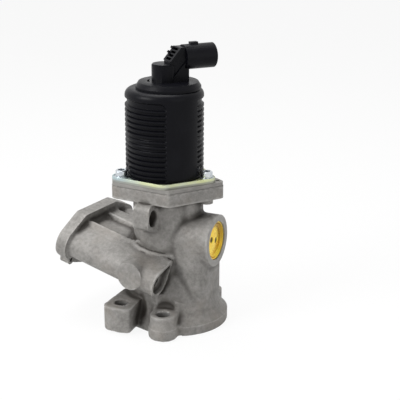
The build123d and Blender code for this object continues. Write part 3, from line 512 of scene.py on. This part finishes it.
# ---- cast housing
CUT_REACH, CUT_FADE = 0.7, 0.3          # distance from a machined plane that still shines, and its edge
CUT_BORES = (
    # centre, radius, top of the machined part
    ((2.97, -32.66), 4.5, 15.5), ((9.48, 31.4), 4.5, 7.2), ((-30.24, 12.71), 4.5, 7.2),
    ((-25.8, -31.1), 4.5, 16.0), ((0, 0), 21.0, 16.0), (VALVE, 15.5, 24.0),
)
PORT_R, PORT_SHINE = 17.0, 0.3          # side port's face, which is machined but dull

ROOF, ROOF_TOP = 10.2, 15.0             # arm's roof above the arm's axis
POCKET_RUN = (8.5, 51.5)                # roof pocket along the arm
POCKET_SIDES = (-14.0, 3.6)             # and across it
POCKET_SINK, POCKET_SLOPE = 0.9, 0.9
BEADS = ((0.9, -15.9, 0.95), (0.7, 5.0, 0.8))       # height, place across the arm and width
RING_R, RING_TURNS, RING_TOP = (15.8, 19.8), (158, 234), 17.0    # neck's wall over the arm's roof

EAR = np.array([14.0, -21.0, 17.0])     # the cast ear lies below all three
PULL_HOLLOW, PULL_EAR = 0.6, 0.5        # share of the way to the mean that a round moves a vertex
PULL_EDGE, PULL_LAST = 0.02, 0.15       # on outer edges, and in the last two rounds


def neighbours(mesh):
    """Edge ends as an array of pairs and each vertex's number of edges."""
    pairs = np.zeros(len(mesh.edges) * 2, np.int64)
    mesh.edges.foreach_get("vertices", pairs)
    pairs = pairs.reshape(-1, 2)
    count = np.bincount(pairs.ravel(), minlength=len(mesh.vertices))
    return pairs, np.maximum(count, 1)


def mean_of_neighbours(values, pairs, count):
    """Average over the vertices joined to each vertex by an edge."""
    total = np.zeros_like(values)
    for axis in range(values.shape[1]):
        total[:, axis] += np.bincount(pairs[:, 0], values[pairs[:, 1], axis], minlength=len(values))
        total[:, axis] += np.bincount(pairs[:, 1], values[pairs[:, 0], axis], minlength=len(values))
    return total / count[:, None]


def vertex_normals(mesh):
    """Vertex normals as an array."""
    normals = np.zeros(len(mesh.vertices) * 3, np.float32)
    mesh.vertex_normals.foreach_get("vector", normals)
    return normals.reshape(-1, 3)


def blurred(values, share, rounds, joined):
    """Values mixed by a share with the mean of their neighbours, a number of times."""
    for _ in range(rounds):
        values = (1 - share) * values + share * mean_of_neighbours(values, *joined)
    return values


def machined_mask(points, normals):
    """1 on the faces and bores that a tool has cut, fading over a third of a millimetre.

    A face counts where its distance from the plane is small and its normal lies along the plane's.
    """
    def plane(origin, axis):
        off = np.abs((points - origin) @ axis)
        facing = np.abs(normals @ axis)
        return np.clip((CUT_REACH - off) / CUT_FADE, 0, 1) * np.clip((facing - 0.8) / 0.1, 0, 1)

    near_port = np.hypot(points @ PORT_SIDE, points[:, 2] - PORT_Z) < PORT_R
    mask = PORT_SHINE * plane(PORT_OUT * PORT_FACE, PORT_OUT) * near_port
    for origin, axis in ((0 * UP, UP), (FLANGE_TOP * UP, UP), (ARM_FACE, ARM_INWARD)):
        mask = np.maximum(mask, plane(origin, axis))
    for centre, radius, top in CUT_BORES:
        out = points[:, :2] - centre
        off = np.abs(np.hypot(out[:, 0], out[:, 1]) - radius)
        faces_axis = (np.einsum("ij,ij->i", out, normals[:, :2]) < 0) & (np.abs(normals[:, 2]) < 0.5)
        mask = np.maximum(mask, np.clip((0.8 - off) / 0.4, 0, 1) * faces_axis * (points[:, 2] < top))
    return mask


def edge_points(mesh, gap=0.25):
    """Points along a mesh's outer edges, a gap apart, in millimetres."""
    shape = bmesh.new()
    shape.from_mesh(mesh)
    found = []
    for edge in shape.edges:
        outer = len(edge.link_faces) == 2 and edge.is_convex
        if outer and edge.calc_face_angle() > math.radians(EDGE_TURN):
            first, last = (np.array(vertex.co) / MM for vertex in edge.verts)
            count = max(int(np.linalg.norm(last - first) / gap), 1)
            share = (np.arange(count)[:, None] + 0.5) / count
            found.append(first + share * (last - first))
    shape.free()
    return np.concatenate(found)


def nearest_edge(points, edges):
    """Nearest of the edge points to each point, and the distance to it."""
    tree = KDTree(len(edges))
    for index, place in enumerate(edges):
        tree.insert(place, index)
    tree.balance()
    found = [tree.find(place) for place in points]
    return edges[[index for _, index, _ in found]], np.array([off for _, _, off in found])


def shelter(mesh, points, normals, reach=13.0, rings=((0.35, 4), (0.95, 6))):
    """How far each vertex is closed in by its own shape: 0 in the open, 1 deep in a hollow.

    Rays leave along the normal and on cones about it, (tilt, number) each, and one that meets the
    shape counts the more the nearer it does.
    """
    shape = bmesh.new()
    shape.from_mesh(mesh)
    tree = BVHTree.FromBMesh(shape)
    shape.free()
    side = np.cross(normals, np.where(np.abs(normals[:, 2:]) < 0.8, UP, [1.0, 0.0, 0.0]))
    side /= np.linalg.norm(side, axis=1)[:, None] + 1e-9
    other = np.cross(normals, side)
    starts = (points + 0.35 * normals) * MM
    closed, rays = np.zeros(len(points)), 0
    for tilt, number in rings:
        for step in range(number):
            turn = 2 * math.pi * (step + 0.5 * (tilt > 0.5)) / number
            lean = math.cos(turn) * side + math.sin(turn) * other
            aims = math.cos(tilt) * normals + math.sin(tilt) * lean
            for index, (start, aim) in enumerate(zip(starts.tolist(), aims.tolist())):
                gap = tree.ray_cast(start, aim, reach * MM)[3]
                if gap is not None:
                    closed[index] += 1 - 0.7 * gap / (reach * MM)
            rays += 1
    return closed / rays


def arm_relief(points):
    """Lift, in millimetres, of the beads beside the arm's roof pocket and sink of the pocket's floor.

    Each bead is a bell across the arm; the floor's edges are even slopes.
    """
    local = points - ARM_FACE
    across, up, along = local @ ARM_ACROSS, local @ ARM_UP, local @ ARM_INWARD
    run = np.clip((along - POCKET_RUN[0]) / 1.5, 0, 1) * np.clip((POCKET_RUN[1] - along) / 1.5, 0, 1)
    run = run * (up > ROOF) * (up < ROOF_TOP)
    beads = sum(height * bell(across - place, width) for height, place, width in BEADS)
    floor = np.clip((across - POCKET_SIDES[0]) / POCKET_SLOPE, 0, 1)
    floor = floor * np.clip((POCKET_SIDES[1] - across) / POCKET_SLOPE, 0, 1)
    return (run * (beads - POCKET_SINK * floor))[:, None] * ARM_UP


def neck_wall():
    """Ring of the neck's wall between the arm's roof and the collar, which closes the pocket's inner end."""
    turns = np.radians(np.linspace(*RING_TURNS, 39))
    low, high = RING_R
    corners = []
    for radius, lift in ((low, ROOF), (high, ROOF), (high, RING_TOP), (low, RING_TOP)):
        x, y = VALVE[0] + radius * np.cos(turns), VALVE[1] + radius * np.sin(turns)
        flat = (x - ARM_FACE[0]) * ARM_UP[0] + (y - ARM_FACE[1]) * ARM_UP[1]
        corners.append(np.stack([x, y, ARM_FACE[2] + (lift - flat) / ARM_UP[2]], axis=1))
    points, sides = lattice(np.stack(corners, axis=1))
    ends = np.array([(0, 3, 2, 1), len(points) - 4 + np.arange(4)])
    mesh = bpy.data.meshes.new("neck_wall")
    mesh.from_pydata((points * MM).tolist(), [], np.concatenate([sides, ends]).tolist())
    return mesh


def with_part(mesh, extra):
    """Adds a closed mesh to another."""
    shape = bmesh.new()
    shape.from_mesh(mesh)
    shape.from_mesh(extra)
    bmesh.ops.recalc_face_normals(shape, faces=shape.faces)
    shape.to_mesh(mesh)
    shape.free()
    bpy.data.meshes.remove(extra)


def ear_share(points):
    """1 on the cast ear and the front boss, whose corners are rounder than the rest."""
    return np.all(points < EAR, axis=1).astype(float)


def voxel_skin(step):
    """Casting's packed shape and the neck's wall as even cells; gives the packed edge points too."""
    source = placed("cast_source", copied("housing", "cast_source"), 30.0)
    edges = edge_points(source.data)
    with_part(source.data, neck_wall())
    cells = source.modifiers.new("cells", "REMESH")
    cells.mode = "VOXEL"
    cells.voxel_size = step * MM
    graph = bpy.context.evaluated_depsgraph_get()
    mesh = bpy.data.meshes.new_from_object(source.evaluated_get(graph))
    bpy.data.objects.remove(source)
    mesh.name = "cast_housing"
    return mesh, edges


def paint_wear_and_light(mesh, points, joined, off, shade):
    """Stores each vertex's wear and painted light, and its machined share; off is its distance to an outer
    edge.

    Wear is the painted highlight of bends and of rubbed edges, together with their rubbed wear, less grime and
    painted shade in places that are closed in or lie below their wide surroundings, less a dark seam under the
    flange's top.
    """
    normals = vertex_normals(mesh)
    inset = points - mean_of_neighbours(points, *joined)
    # Convex bends are lightened: a painted highlight.
    bend = blurred(np.einsum("ij,ij->i", inset, normals)[:, None], 0.6, 3, joined)[:, 0]
    fold = np.einsum("ij,ij->i", points - blurred(points, 1.0, 28, joined), normals)
    seam = bell(points[:, 2] - FLANGE_TOP + 0.25, 0.3) * (np.abs(normals[:, 2]) < 0.8)
    base_edge = (points[:, 2] < 8.0) * (points[:, 2] > 4.0)
    # Outer edges are lightened, more along the base flange's edge: rubbed wear and a painted highlight.
    rubbed = 0.3 * bell(off, 0.4) * (1 - 0.5 * ear_share(points)) + 0.5 * bell(off, 0.6) * base_edge
    closed = blurred(shelter(mesh, points, normals)[:, None], 0.5, 2, joined)[:, 0]
    # Closed in places and creases are darkened: painted shade, with some grime.
    grime = np.maximum(closed - 0.10, 0.0) * shade + np.maximum(-fold - 0.05, 0.0) * 1.1
    # Painted highlights are held back where painted shade falls.
    rubbed *= np.clip(1 - 2.0 * closed, 0, 1)
    bright = np.clip(np.maximum(bend * 5.0, rubbed), None, 0.5 - closed)
    store(mesh, "wear", np.clip(bright - grime - 1.2 * seam, -1, 1))
    # Machined shine is cut back in closed in places such as bores: painted shade there.
    store(mesh, "machined", machined_mask(points, normals) * np.clip(1.15 - 2.2 * closed, 0, 1))


def cast_skin(look):
    """Casting's soft skin.

    The packed shape is filled with even cells, and each vertex then moves towards the mean of its
    neighbours: p' = p + w (mean - p), where w is large in hollows, so that they fill to fillets, small on
    outer edges, so that they stay crisp, and near 0 on machined faces.  Vertices beside an outer edge of
    the packed shape are drawn back to it at the end.
    """
    mesh, edges = voxel_skin(look.voxel)
    points = points_of(mesh)
    joined = neighbours(mesh)
    low, high = points.min(0), points.max(0)
    for step in range(look.rounds):
        normals = vertex_normals(mesh)
        toward = mean_of_neighbours(points, *joined) - points
        hollow = np.einsum("ij,ij->i", toward, normals) > 0
        outer = PULL_EDGE if step < look.rounds - 2 else PULL_LAST
        outer = np.maximum(outer, PULL_EAR * ear_share(points))
        weight = (1.0 - 0.9 * machined_mask(points, normals)) * np.where(hollow, PULL_HOLLOW, outer)
        points += weight[:, None] * toward
        set_points(mesh, points)
        mesh.update()
    points += arm_relief(points)
    ridge, off = nearest_edge(points, edges)
    draw = 0.95 * np.clip(2.0 - off / (0.7 * look.voxel), 0, 1) * (1 - ear_share(points))
    points += draw[:, None] * (ridge - points)
    set_points(mesh, points)
    mesh.update()
    paint_wear_and_light(mesh, points, joined, off, look.shade)
    set_points(mesh, np.clip(points, low, high))
    return mesh


class VALVE_OT_housing(bpy.types.Operator):
    """Dress the cast housing"""

    bl_idname = "valve.housing"
    bl_label = "Cast housing"

    def execute(self, context):
        look = context.scene.cast_look
        piece = placed("cast_housing", cast_skin(look), 60.0)
        finish(piece, cast_material(look))
        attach(piece, "valve_body")
        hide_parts("housing")
        return {"FINISHED"}


# ---- plug
PLUG = (
    # radius and height of the section, from the inner end's centre over the rim to the dish's middle
    (0.0, -7.0), (11.2, -7.0), (11.9, -6.8), (12.2, -6.2), (12.2, -0.45), (12.05, -0.1), (11.7, 0.0),
    (11.3, -0.12), (11.05, -0.5), (10.7, -1.2), (10.1, -1.62), (9.2, -1.7), (7.5, -1.62), (5.5, -1.45),
    (3.5, -1.3), (1.6, -1.22), (0.0, -1.2),
)
PLUG_SUNK = 0.7                         # rim below the port's face


class VALVE_OT_plug(bpy.types.Operator):
    """Dish the golden plug in the side port"""

    bl_idname = "valve.plug"
    bl_label = "Port plug"

    def execute(self, context):
        centre = PORT_OUT * (PORT_FACE - PLUG_SUNK) + PORT_Z * UP
        piece = turned("port_plug", evenly(PLUG, 90), centre, (PORT_SIDE, UP, PORT_OUT), 120, 40.0)
        sink_dimples(piece.data, centre)
        material = metal_material("golden plug", (0.93, 0.72, 0.06), (0.86, 0.52, 0.02), 0.16, 0.75, 0.05,
                                  210.0)
        # Brown on the dish's rim, strongest on its upper right side: a painted dark reflection and shade.
        tint(material, attribute(material.node_tree, "rim"), (0.20, 0.085, 0.012, 1))
        # Near black in the dimples: painted shade and dark reflection.
        tint(material, attribute(material.node_tree, "dimple"), (0.02, 0.008, 0.003, 1))
        finish(piece, material)
        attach(piece, "valve_body")
        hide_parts("core_plug")
        return {"FINISHED"}


def sink_dimples(mesh, centre):
    """Two round dimples, each 0.7 exp(-(r / 1.9)^8) mm deep about its centre, with their share for painted
    shade, and the dish's rim with its share for a brown painted dark reflection and shade.
    """
    points = points_of(mesh)
    across, up, out = (points - centre) @ PORT_SIDE, points[:, 2] - PORT_Z, (points - centre) @ PORT_OUT
    dark = np.zeros(len(points))
    for side, rise in ((-3.4, 1.1), (3.4, -1.1)):
        reach = np.hypot(across - side, up - rise)
        dark = np.maximum(dark, np.exp(-((reach / 1.9) ** 8)))
    floor = (out > -3.0) & (out < -0.9)
    set_points(mesh, points - (0.7 * dark * floor)[:, None] * PORT_OUT)
    # The dimples' share is kept for their painted shade and dark reflection.
    store(mesh, "dimple", dark * floor)
    # The rim's share is a painted dark reflection and shade, leaning to the upper right side.
    radius, bearing = np.hypot(across, up), np.arctan2(up, across)
    lean = 0.5 + 0.5 * np.cos(bearing - math.radians(35.0))
    rim = np.clip((radius - 9.3 + 2.2 * lean) / 1.6, 0, 1) * (0.12 + 0.6 * lean)
    store(mesh, "rim", rim * (radius < 11.4))


# ---- ribbed cover
PANEL_LEFT, PANEL_RIGHT = -66.0, -12.0  # plain panel's edges, in degrees round the axis
PANEL_LEAN, LEAN_FROM, LEAN_OVER = 2.2, 46.5, 5.5   # degrees per mm that the left edge leans at the top
NOTCH_R, NOTCH_TOP = 4.65, 7.5          # room round the screws' heads
SHOULDER_R, SHOULDER = 4.0, 5.6         # rounding of the top edge, and the plain band with it
GROOVE_R, GROOVE_DEEP = (15.95, 14.05), 1.8         # seal's groove in the top


def cover_radius(angle, height, look):
    """Radius of the cover's outside.

    Root radius plus rib height times a rounded crest at every pitch; between the panel's edges the
    crest is 1 throughout, and at the foot it gives way to the screws' heads.
    """
    root = COVER_R - look.height
    phase = (height - look.first) / look.pitch
    near = np.abs(phase - np.round(phase))
    ribbed = (phase > -0.6) & (phase < look.ribs - 0.4)
    crest = np.where(ribbed, 1 - rounded_step(near - 0.25, 0.16), 0.0)
    degrees = np.degrees(angle)
    left = PANEL_LEFT - PANEL_LEAN * np.clip(height - LEAN_FROM, 0, LEAN_OVER)
    panel = rounded_step(degrees - left, 1.6) * (1 - rounded_step(degrees - PANEL_RIGHT, 1.6))
    shoulder = rounded_step(height - (COVER_TOP - PLATE_TOP - SHOULDER), 1.2)
    foot = (1 - rounded_step(height - 1.4, 0.6)) * 0.6
    for raised_part in (panel * rounded_step(height - 1.3, 0.6), shoulder, foot):
        crest = np.maximum(crest, raised_part)
    ridge = bell(degrees - left, 1.3) * rounded_step(height - 2.0, 1.0)
    radius = root + look.height * crest + 0.3 * ridge * (1 - rounded_step(height - 51.0, 1.0))
    for x, y in SCREW_SITES:
        reach, bearing = np.hypot(x - VALVE[0], y), np.arctan2(y, x - VALVE[0])
        off = np.angle(np.exp(1j * (angle - bearing)))
        across = reach * np.sin(off)
        notch = reach * np.cos(off) - np.sqrt(np.maximum(NOTCH_R ** 2 - across ** 2, 0))
        notched = (np.abs(across) < NOTCH_R) & (np.cos(off) > 0) & (height < NOTCH_TOP)
        radius = np.where(notched, np.minimum(radius, np.maximum(notch, YOKE_R + 0.25)), radius)
    return radius


def cover_surface(look):
    """Cover as one closed surface of angle and a walk round its section.

    The walk goes up the ribbed outside, over the rounded shoulder, in along the top with the seal's
    groove, down the hole, out under the lid and down the inside wall.
    """
    top = COVER_TOP - PLATE_TOP
    shoulder = top - SHOULDER_R
    angle = np.radians(np.linspace(-180, 180, 300, endpoint=False))
    rise = np.concatenate([[0.0, 0.25], np.arange(0.6, shoulder, 0.26)])
    side = cover_radius(angle[None, :], rise[:, None], look)
    outside = np.stack([side, np.broadcast_to(rise[:, None], side.shape)], -1)
    quarter = np.radians(np.linspace(0, 90, 10))
    rim = np.stack([COVER_R - SHOULDER_R + SHOULDER_R * np.cos(quarter),
                    shoulder + SHOULDER_R * np.sin(quarter)], -1)
    outer, inner = GROOVE_R
    lid_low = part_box("upper_pole")[1].z / MM - PLATE_TOP
    bore = YOKE_R + 0.02
    tail = np.concatenate([rim, np.array([
        (16.1, top), (outer, top), (outer, top - GROOVE_DEEP), (inner, top - GROOVE_DEEP), (inner, top),
        (10.2, top), (10.0, top - 0.2), (10.0, lid_low), (bore, lid_low), (bore, 25.0), (bore, 0.0),
    ])])
    section = np.concatenate([outside, np.broadcast_to(tail[:, None, :], (len(tail), len(angle), 2))], axis=0)
    x = VALVE[0] + section[..., 0] * np.cos(angle)
    y = VALVE[1] + section[..., 0] * np.sin(angle)
    return np.stack([x, y, PLATE_TOP + section[..., 1]], -1)


class VALVE_OT_cover(bpy.types.Operator):
    """Dress the solenoid's ribbed cover"""

    bl_idname = "valve.cover"
    bl_label = "Ribbed cover"

    def execute(self, context):
        look = context.scene.cover_look
        piece = mesh_object("ribbed_cover", *lattice(cover_surface(look), True, True), crease=50.0)
        finish(piece, black_plastic(context))
        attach(piece, "valve_body")
        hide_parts("solenoid_cover")
        return {"FINISHED"}


def black_plastic(context):
    """Black plastic, made once and shared."""
    look = context.scene.cover_look
    found = bpy.data.materials.get("black plastic")
    return found or plastic_material("black plastic", look.colour, look.dust, 0.33, 0.018, 0.10)


class VALVE_OT_cap(bpy.types.Operator):
    """Dress the sensor cap with its round connector"""

    bl_idname = "valve.cap"
    bl_label = "Sensor cap"

    def execute(self, context):
        piece = eased("sensor_cap", "sensor_cap_moulding", 0.3)
        finish(piece, black_plastic(context))
        return {"FINISHED"}


# ---- plates and screws
def zinc_material():
    """Yellow zinc, bluish towards the left end and dull below the upper face."""
    material = metal_material("yellow zinc", (0.60, 0.63, 0.33), (0.56, 0.60, 0.47), 0.38, 0.55, 0.012, 90.0)
    tree = material.node_tree
    split = tree.nodes.new("ShaderNodeSeparateXYZ")
    tree.links.new(tree.nodes.new("ShaderNodeTexCoord").outputs["Object"], split.inputs["Vector"])
    left = spread(tree, split.outputs["X"], -0.010, -0.030, 0.0, 0.9)
    tint(material, left, (0.36, 0.45, 0.50, 1))
    under = spread(tree, split.outputs["Z"], (PLATE_TOP - 0.2) * MM, (PLATE_TOP - 0.9) * MM, 0.0, 0.85)
    tint(material, under, (0.26, 0.26, 0.235, 1))
    return material


class VALVE_OT_plates(bpy.types.Operator):
    """Dress the spacer, the plated clamp plate and the three screws"""

    bl_idname = "valve.plates"
    bl_label = "Plates and screws"

    def execute(self, context):
        grey = metal_material("grey spacer", (0.28, 0.27, 0.255), (0.22, 0.212, 0.20), 0.55, 0.3, 0.03)
        finish(eased("spacer_plate", "spacer", 0.4), grey)
        finish(eased("mount_plate", "clamp_plate", 0.3), zinc_material())
        bright = metal_material("bright zinc", (0.62, 0.65, 0.67), (0.50, 0.54, 0.58), 0.25, 0.92, 0.008,
                                400.0)
        finish(eased("flange_screws", "flange_screw_set", 0.3), bright)
        return {"FINISHED"}


# ---- springs
SPRING_STEEL = ((0.32, 0.32, 0.34), (0.24, 0.24, 0.26), 0.32, 0.9, 0.006)
COILS = (
    # node, radius of the coil and of its wire, turns, joint
    ("return_spring", 4.9, 0.45, 7, "valve_lift"), ("sensor_spring", 2.9, 0.3, 5, "sensor_travel"),
)


def coil_points(radius, wire, low, high, turns, sides=10, per_turn=36):
    """Round wire along a helix whose first and last turns are closed.

    The centre line is (R cos a, R sin a, z(a)), where z climbs one wire's thickness in each end turn
    and evenly between; each section is a circle across the line's tangent.
    """
    turn = np.linspace(0, turns, turns * per_turn + 1)
    thick = 2 * wire * 1.04
    tall = high - low - 2 * wire
    climb = np.interp(turn, [0, 1, turns - 1, turns], [0, thick, tall - thick, tall])
    angle = 2 * np.pi * turn
    line = np.stack([VALVE[0] + radius * np.cos(angle), radius * np.sin(angle), low + wire + climb], -1)
    outward = np.stack([np.cos(angle), np.sin(angle), np.zeros_like(angle)], -1)
    tangent = np.gradient(line, axis=0)
    tangent /= np.linalg.norm(tangent, axis=1)[:, None]
    across = np.cross(tangent, outward)
    bearing = (2 * np.pi * np.arange(sides) / sides)[None, :, None]
    shell = np.cos(bearing) * outward[:, None, :] + np.sin(bearing) * across[:, None, :]
    points = line[:, None, :] + wire * shell
    ends = np.broadcast_to(line[[0, -1]][:, None, :], (2, sides, 3))
    return np.concatenate([ends[:1], points, ends[1:]])


class VALVE_OT_springs(bpy.types.Operator):
    """Wind the return spring and the sensor spring"""

    bl_idname = "valve.springs"
    bl_label = "Springs"

    def execute(self, context):
        wire_finish = metal_material("spring wire", *SPRING_STEEL)
        for node, radius, wire, turns, joint in COILS:
            low, high = (corner.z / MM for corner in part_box(node))
            coil = lattice(coil_points(radius, wire, low, high, turns))
            piece = mesh_object(node + "_coil", *coil, crease=60.0)
            finish(piece, wire_finish)
            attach(piece, "valve_body")
            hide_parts(node)
            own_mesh(piece)
        return {"FINISHED"}


# ---- inner parts
INNER_METALS = (
    # slot, two tones, roughness, metallic, scratch depth, nodes
    ("hard_steel", (0.50, 0.50, 0.51), (0.42, 0.42, 0.43), 0.22, 0.95, 0.004,
     ("valve_seat", "valve_head", "valve_stem")),
    ("bronze", (0.60, 0.42, 0.20), (0.52, 0.35, 0.16), 0.34, 0.9, 0.01, ("guide_bush",)),
    ("pressed_steel", (0.55, 0.55, 0.57), (0.45, 0.45, 0.47), 0.35, 0.9, 0.01, ("seal_cup", "spring_washer")),
    ("soft_iron", (0.38, 0.38, 0.40), (0.30, 0.30, 0.31), 0.42, 0.85, 0.015,
     ("armature", "lower_pole", "upper_pole", "yoke")),
    ("spring_steel", *SPRING_STEEL, ("stem_clip",)),
    ("brass_tube", (0.74, 0.56, 0.22), (0.66, 0.48, 0.17), 0.28, 0.92, 0.006, ("guide_tube",)),
    ("copper_wire", (0.66, 0.28, 0.12), (0.52, 0.20, 0.08), 0.3, 0.7, 0.08, ("coil_winding",)),
    ("tin_brass", (0.66, 0.62, 0.50), (0.60, 0.54, 0.38), 0.26, 0.92, 0.006, ("terminals", "wiper")),
)
INNER_PLASTICS = (
    ("seal_ptfe", (0.80, 0.79, 0.75), (0.6, 0.58, 0.52), 0.45, ("stem_seal",)),
    ("bobbin_plastic", (0.66, 0.60, 0.46), (0.5, 0.45, 0.35), 0.45, ("coil_bobbin",)),
    ("seal_rubber", (0.02, 0.02, 0.02), (0.05, 0.05, 0.05), 0.6, ("cap_seal",)),
    ("circuit_board", (0.03, 0.16, 0.08), (0.05, 0.22, 0.12), 0.3, ("sensor_board",)),
    ("white_plastic", (0.75, 0.74, 0.70), (0.6, 0.58, 0.54), 0.4, ("sensor_slider",)),
)


class VALVE_OT_inner(bpy.types.Operator):
    """Finish the valve, the coil and the sensor parts"""

    bl_idname = "valve.inner"
    bl_label = "Inner parts"

    def execute(self, context):
        for slot, first, second, roughness, metallic, scratch, nodes in INNER_METALS:
            made = metal_material(slot.replace("_", " "), first, second, roughness, metallic, scratch)
            for node in nodes:
                finish(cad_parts[node], made)
        for slot, colour, dust, roughness, nodes in INNER_PLASTICS:
            made = plastic_material(slot.replace("_", " "), colour, dust, roughness)
            for node in nodes:
                finish(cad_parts[node], made)
        return {"FINISHED"}


# ---- studio
CAMERA_AT = (0.2142, -0.5476, 0.2742)   # metres
CAMERA_AIM = (-0.3245, 0.8916, -0.3159)
CAMERA_LEVEL = (0.9397, 0.342, 0.0)     # along the picture's width, before the roll
CAMERA_ROLL = 0.2885                    # degrees
LAMPS = (
    # name, place and size in metres
    ("key", (-0.48, -0.57, 0.58), 0.40), ("fill", (0.65, -0.35, 0.30), 0.5),
    ("top", (-0.12, 0.10, 0.75), 0.5),
)
LAMP_AIM = (-0.01, 0.0, 0.08)
FLOOR_HALF = 6000


def area_lamp(name, place, aim, size, power):
    """Square area lamp at a place, turned to an aim, all in metres."""
    lamp = bpy.data.lights.new(name, "AREA")
    lamp.energy = power
    lamp.size = size
    holder = bpy.data.objects.new(name, lamp)
    holder.location = place
    holder.rotation_euler = (Vector(aim) - Vector(place)).to_track_quat("-Z", "Y").to_euler()
    bpy.context.scene.collection.objects.link(holder)


def set_camera(lens):
    """Camera in front, to the right and above, levelled to within a third of a degree."""
    data = bpy.data.cameras.new("camera")
    data.lens = lens
    data.clip_start, data.clip_end = 0.01, 20.0
    holder = bpy.data.objects.new("camera", data)
    bpy.context.scene.collection.objects.link(holder)
    forward, level = Vector(CAMERA_AIM).normalized(), Vector(CAMERA_LEVEL).normalized()
    roll = math.radians(CAMERA_ROLL)
    right = level * math.cos(roll) + level.cross(forward) * math.sin(roll)
    turn = Matrix((right, right.cross(forward), -forward)).transposed().to_4x4()
    holder.matrix_world = Matrix.Translation(CAMERA_AT) @ turn
    bpy.context.scene.camera = holder


def seen_mask(tree):
    """1 for rays that the camera, a gloss or a clear surface sends."""
    path = tree.nodes.new("ShaderNodeLightPath")
    seen = combined(tree, "MAXIMUM", path.outputs["Is Camera Ray"], path.outputs["Is Glossy Ray"])
    return combined(tree, "MAXIMUM", seen, path.outputs["Is Transmission Ray"])


def white_world(strength):
    """Even pale light, seen as white by the camera, by glosses and through clear surfaces."""
    world = bpy.data.worlds.new("studio")
    world.use_nodes = True
    bpy.context.scene.world = world
    tree = world.node_tree
    back = tree.nodes["Background"]
    back.inputs["Color"].default_value = (1.0, 1.0, 1.0, 1.0)
    tree.links.new(spread(tree, seen_mask(tree), 0.0, 1.0, strength, 1.0), back.inputs["Strength"])


def pale_floor():
    """Wide floor under the valve: matt white that keeps a soft shadow."""
    x = np.linspace(-FLOOR_HALF, FLOOR_HALF, 3)
    points = np.stack(np.meshgrid(x, x, [0.0], indexing="ij"), -1)[:, :, 0]
    floor = mesh_object("floor", *lattice(points, False, False))
    material, tree, shader = new_material("studio floor")
    tone = noise(tree, tree.nodes.new("ShaderNodeTexCoord").outputs["Object"], 3.0)
    tree.links.new(mixed(tree, tone, (0.93, 0.93, 0.925, 1), (0.9, 0.9, 0.9, 1)), shader.inputs["Base Color"])
    shader.inputs["Roughness"].default_value = 0.9
    glow = tree.nodes.new("ShaderNodeEmission")
    blend = tree.nodes.new("ShaderNodeMixShader")
    tree.links.new(spread(tree, seen_mask(tree), 0.0, 1.0, 0.0, 0.9), blend.inputs["Fac"])
    tree.links.new(shader.outputs["BSDF"], blend.inputs[1])
    tree.links.new(glow.outputs["Emission"], blend.inputs[2])
    tree.links.new(blend.outputs["Shader"], tree.nodes["Material Output"].inputs["Surface"])
    floor.data.materials.append(material)


class VALVE_OT_stage(bpy.types.Operator):
    """Set the floor, the lamps and the camera"""

    bl_idname = "valve.stage"
    bl_label = "Studio"

    def execute(self, context):
        look = context.scene.studio_look
        context.scene.view_settings.view_transform = "Standard"
        set_camera(look.lens)
        white_world(look.sky)
        pale_floor()
        for name, place, size in LAMPS:
            area_lamp(name, place, LAMP_AIM, size, getattr(look, name))
        return {"FINISHED"}


# ---- add-on
class VALVE_PT_panel(bpy.types.Panel):
    """Lists the pieces of the gas valve"""

    bl_label = "Gas Valve"
    bl_idname = "VALVE_PT_panel"
    bl_space_type = "VIEW_3D"
    bl_region_type = "UI"
    bl_category = "Gas Valve"

    def draw(self, context):
        for operator in OPERATORS:
            self.layout.operator(operator.bl_idname)
        for name, group in LOOKS.items():
            box = self.layout.box()
            box.label(text=group.__doc__)
            for field in group.__annotations__:
                box.prop(getattr(context.scene, name), field)


LOOKS = {"cast_look": CastLook, "cover_look": CoverLook, "studio_look": StudioLook}
OPERATORS = (
    VALVE_OT_stage, VALVE_OT_housing, VALVE_OT_plug, VALVE_OT_cover, VALVE_OT_cap, VALVE_OT_plates,
    VALVE_OT_springs, VALVE_OT_inner,
)


def register():
    """Registers the settings, the operators and the panel."""
    for name, group in LOOKS.items():
        bpy.utils.register_class(group)
        setattr(bpy.types.Scene, name, PointerProperty(type=group))
    for kind in OPERATORS + (VALVE_PT_panel,):
        bpy.utils.register_class(kind)


def unregister():
    """Takes them out again."""
    for kind in (VALVE_PT_panel,) + OPERATORS[::-1]:
        bpy.utils.unregister_class(kind)
    for name, group in LOOKS.items():
        delattr(bpy.types.Scene, name)
        bpy.utils.unregister_class(group)


def main():
    """Registers the add-on and makes every piece."""
    register()
    for operator in OPERATORS:
        section, name = operator.bl_idname.split(".")
        getattr(getattr(bpy.ops, section), name)()


if __name__ == "__main__":
    main()
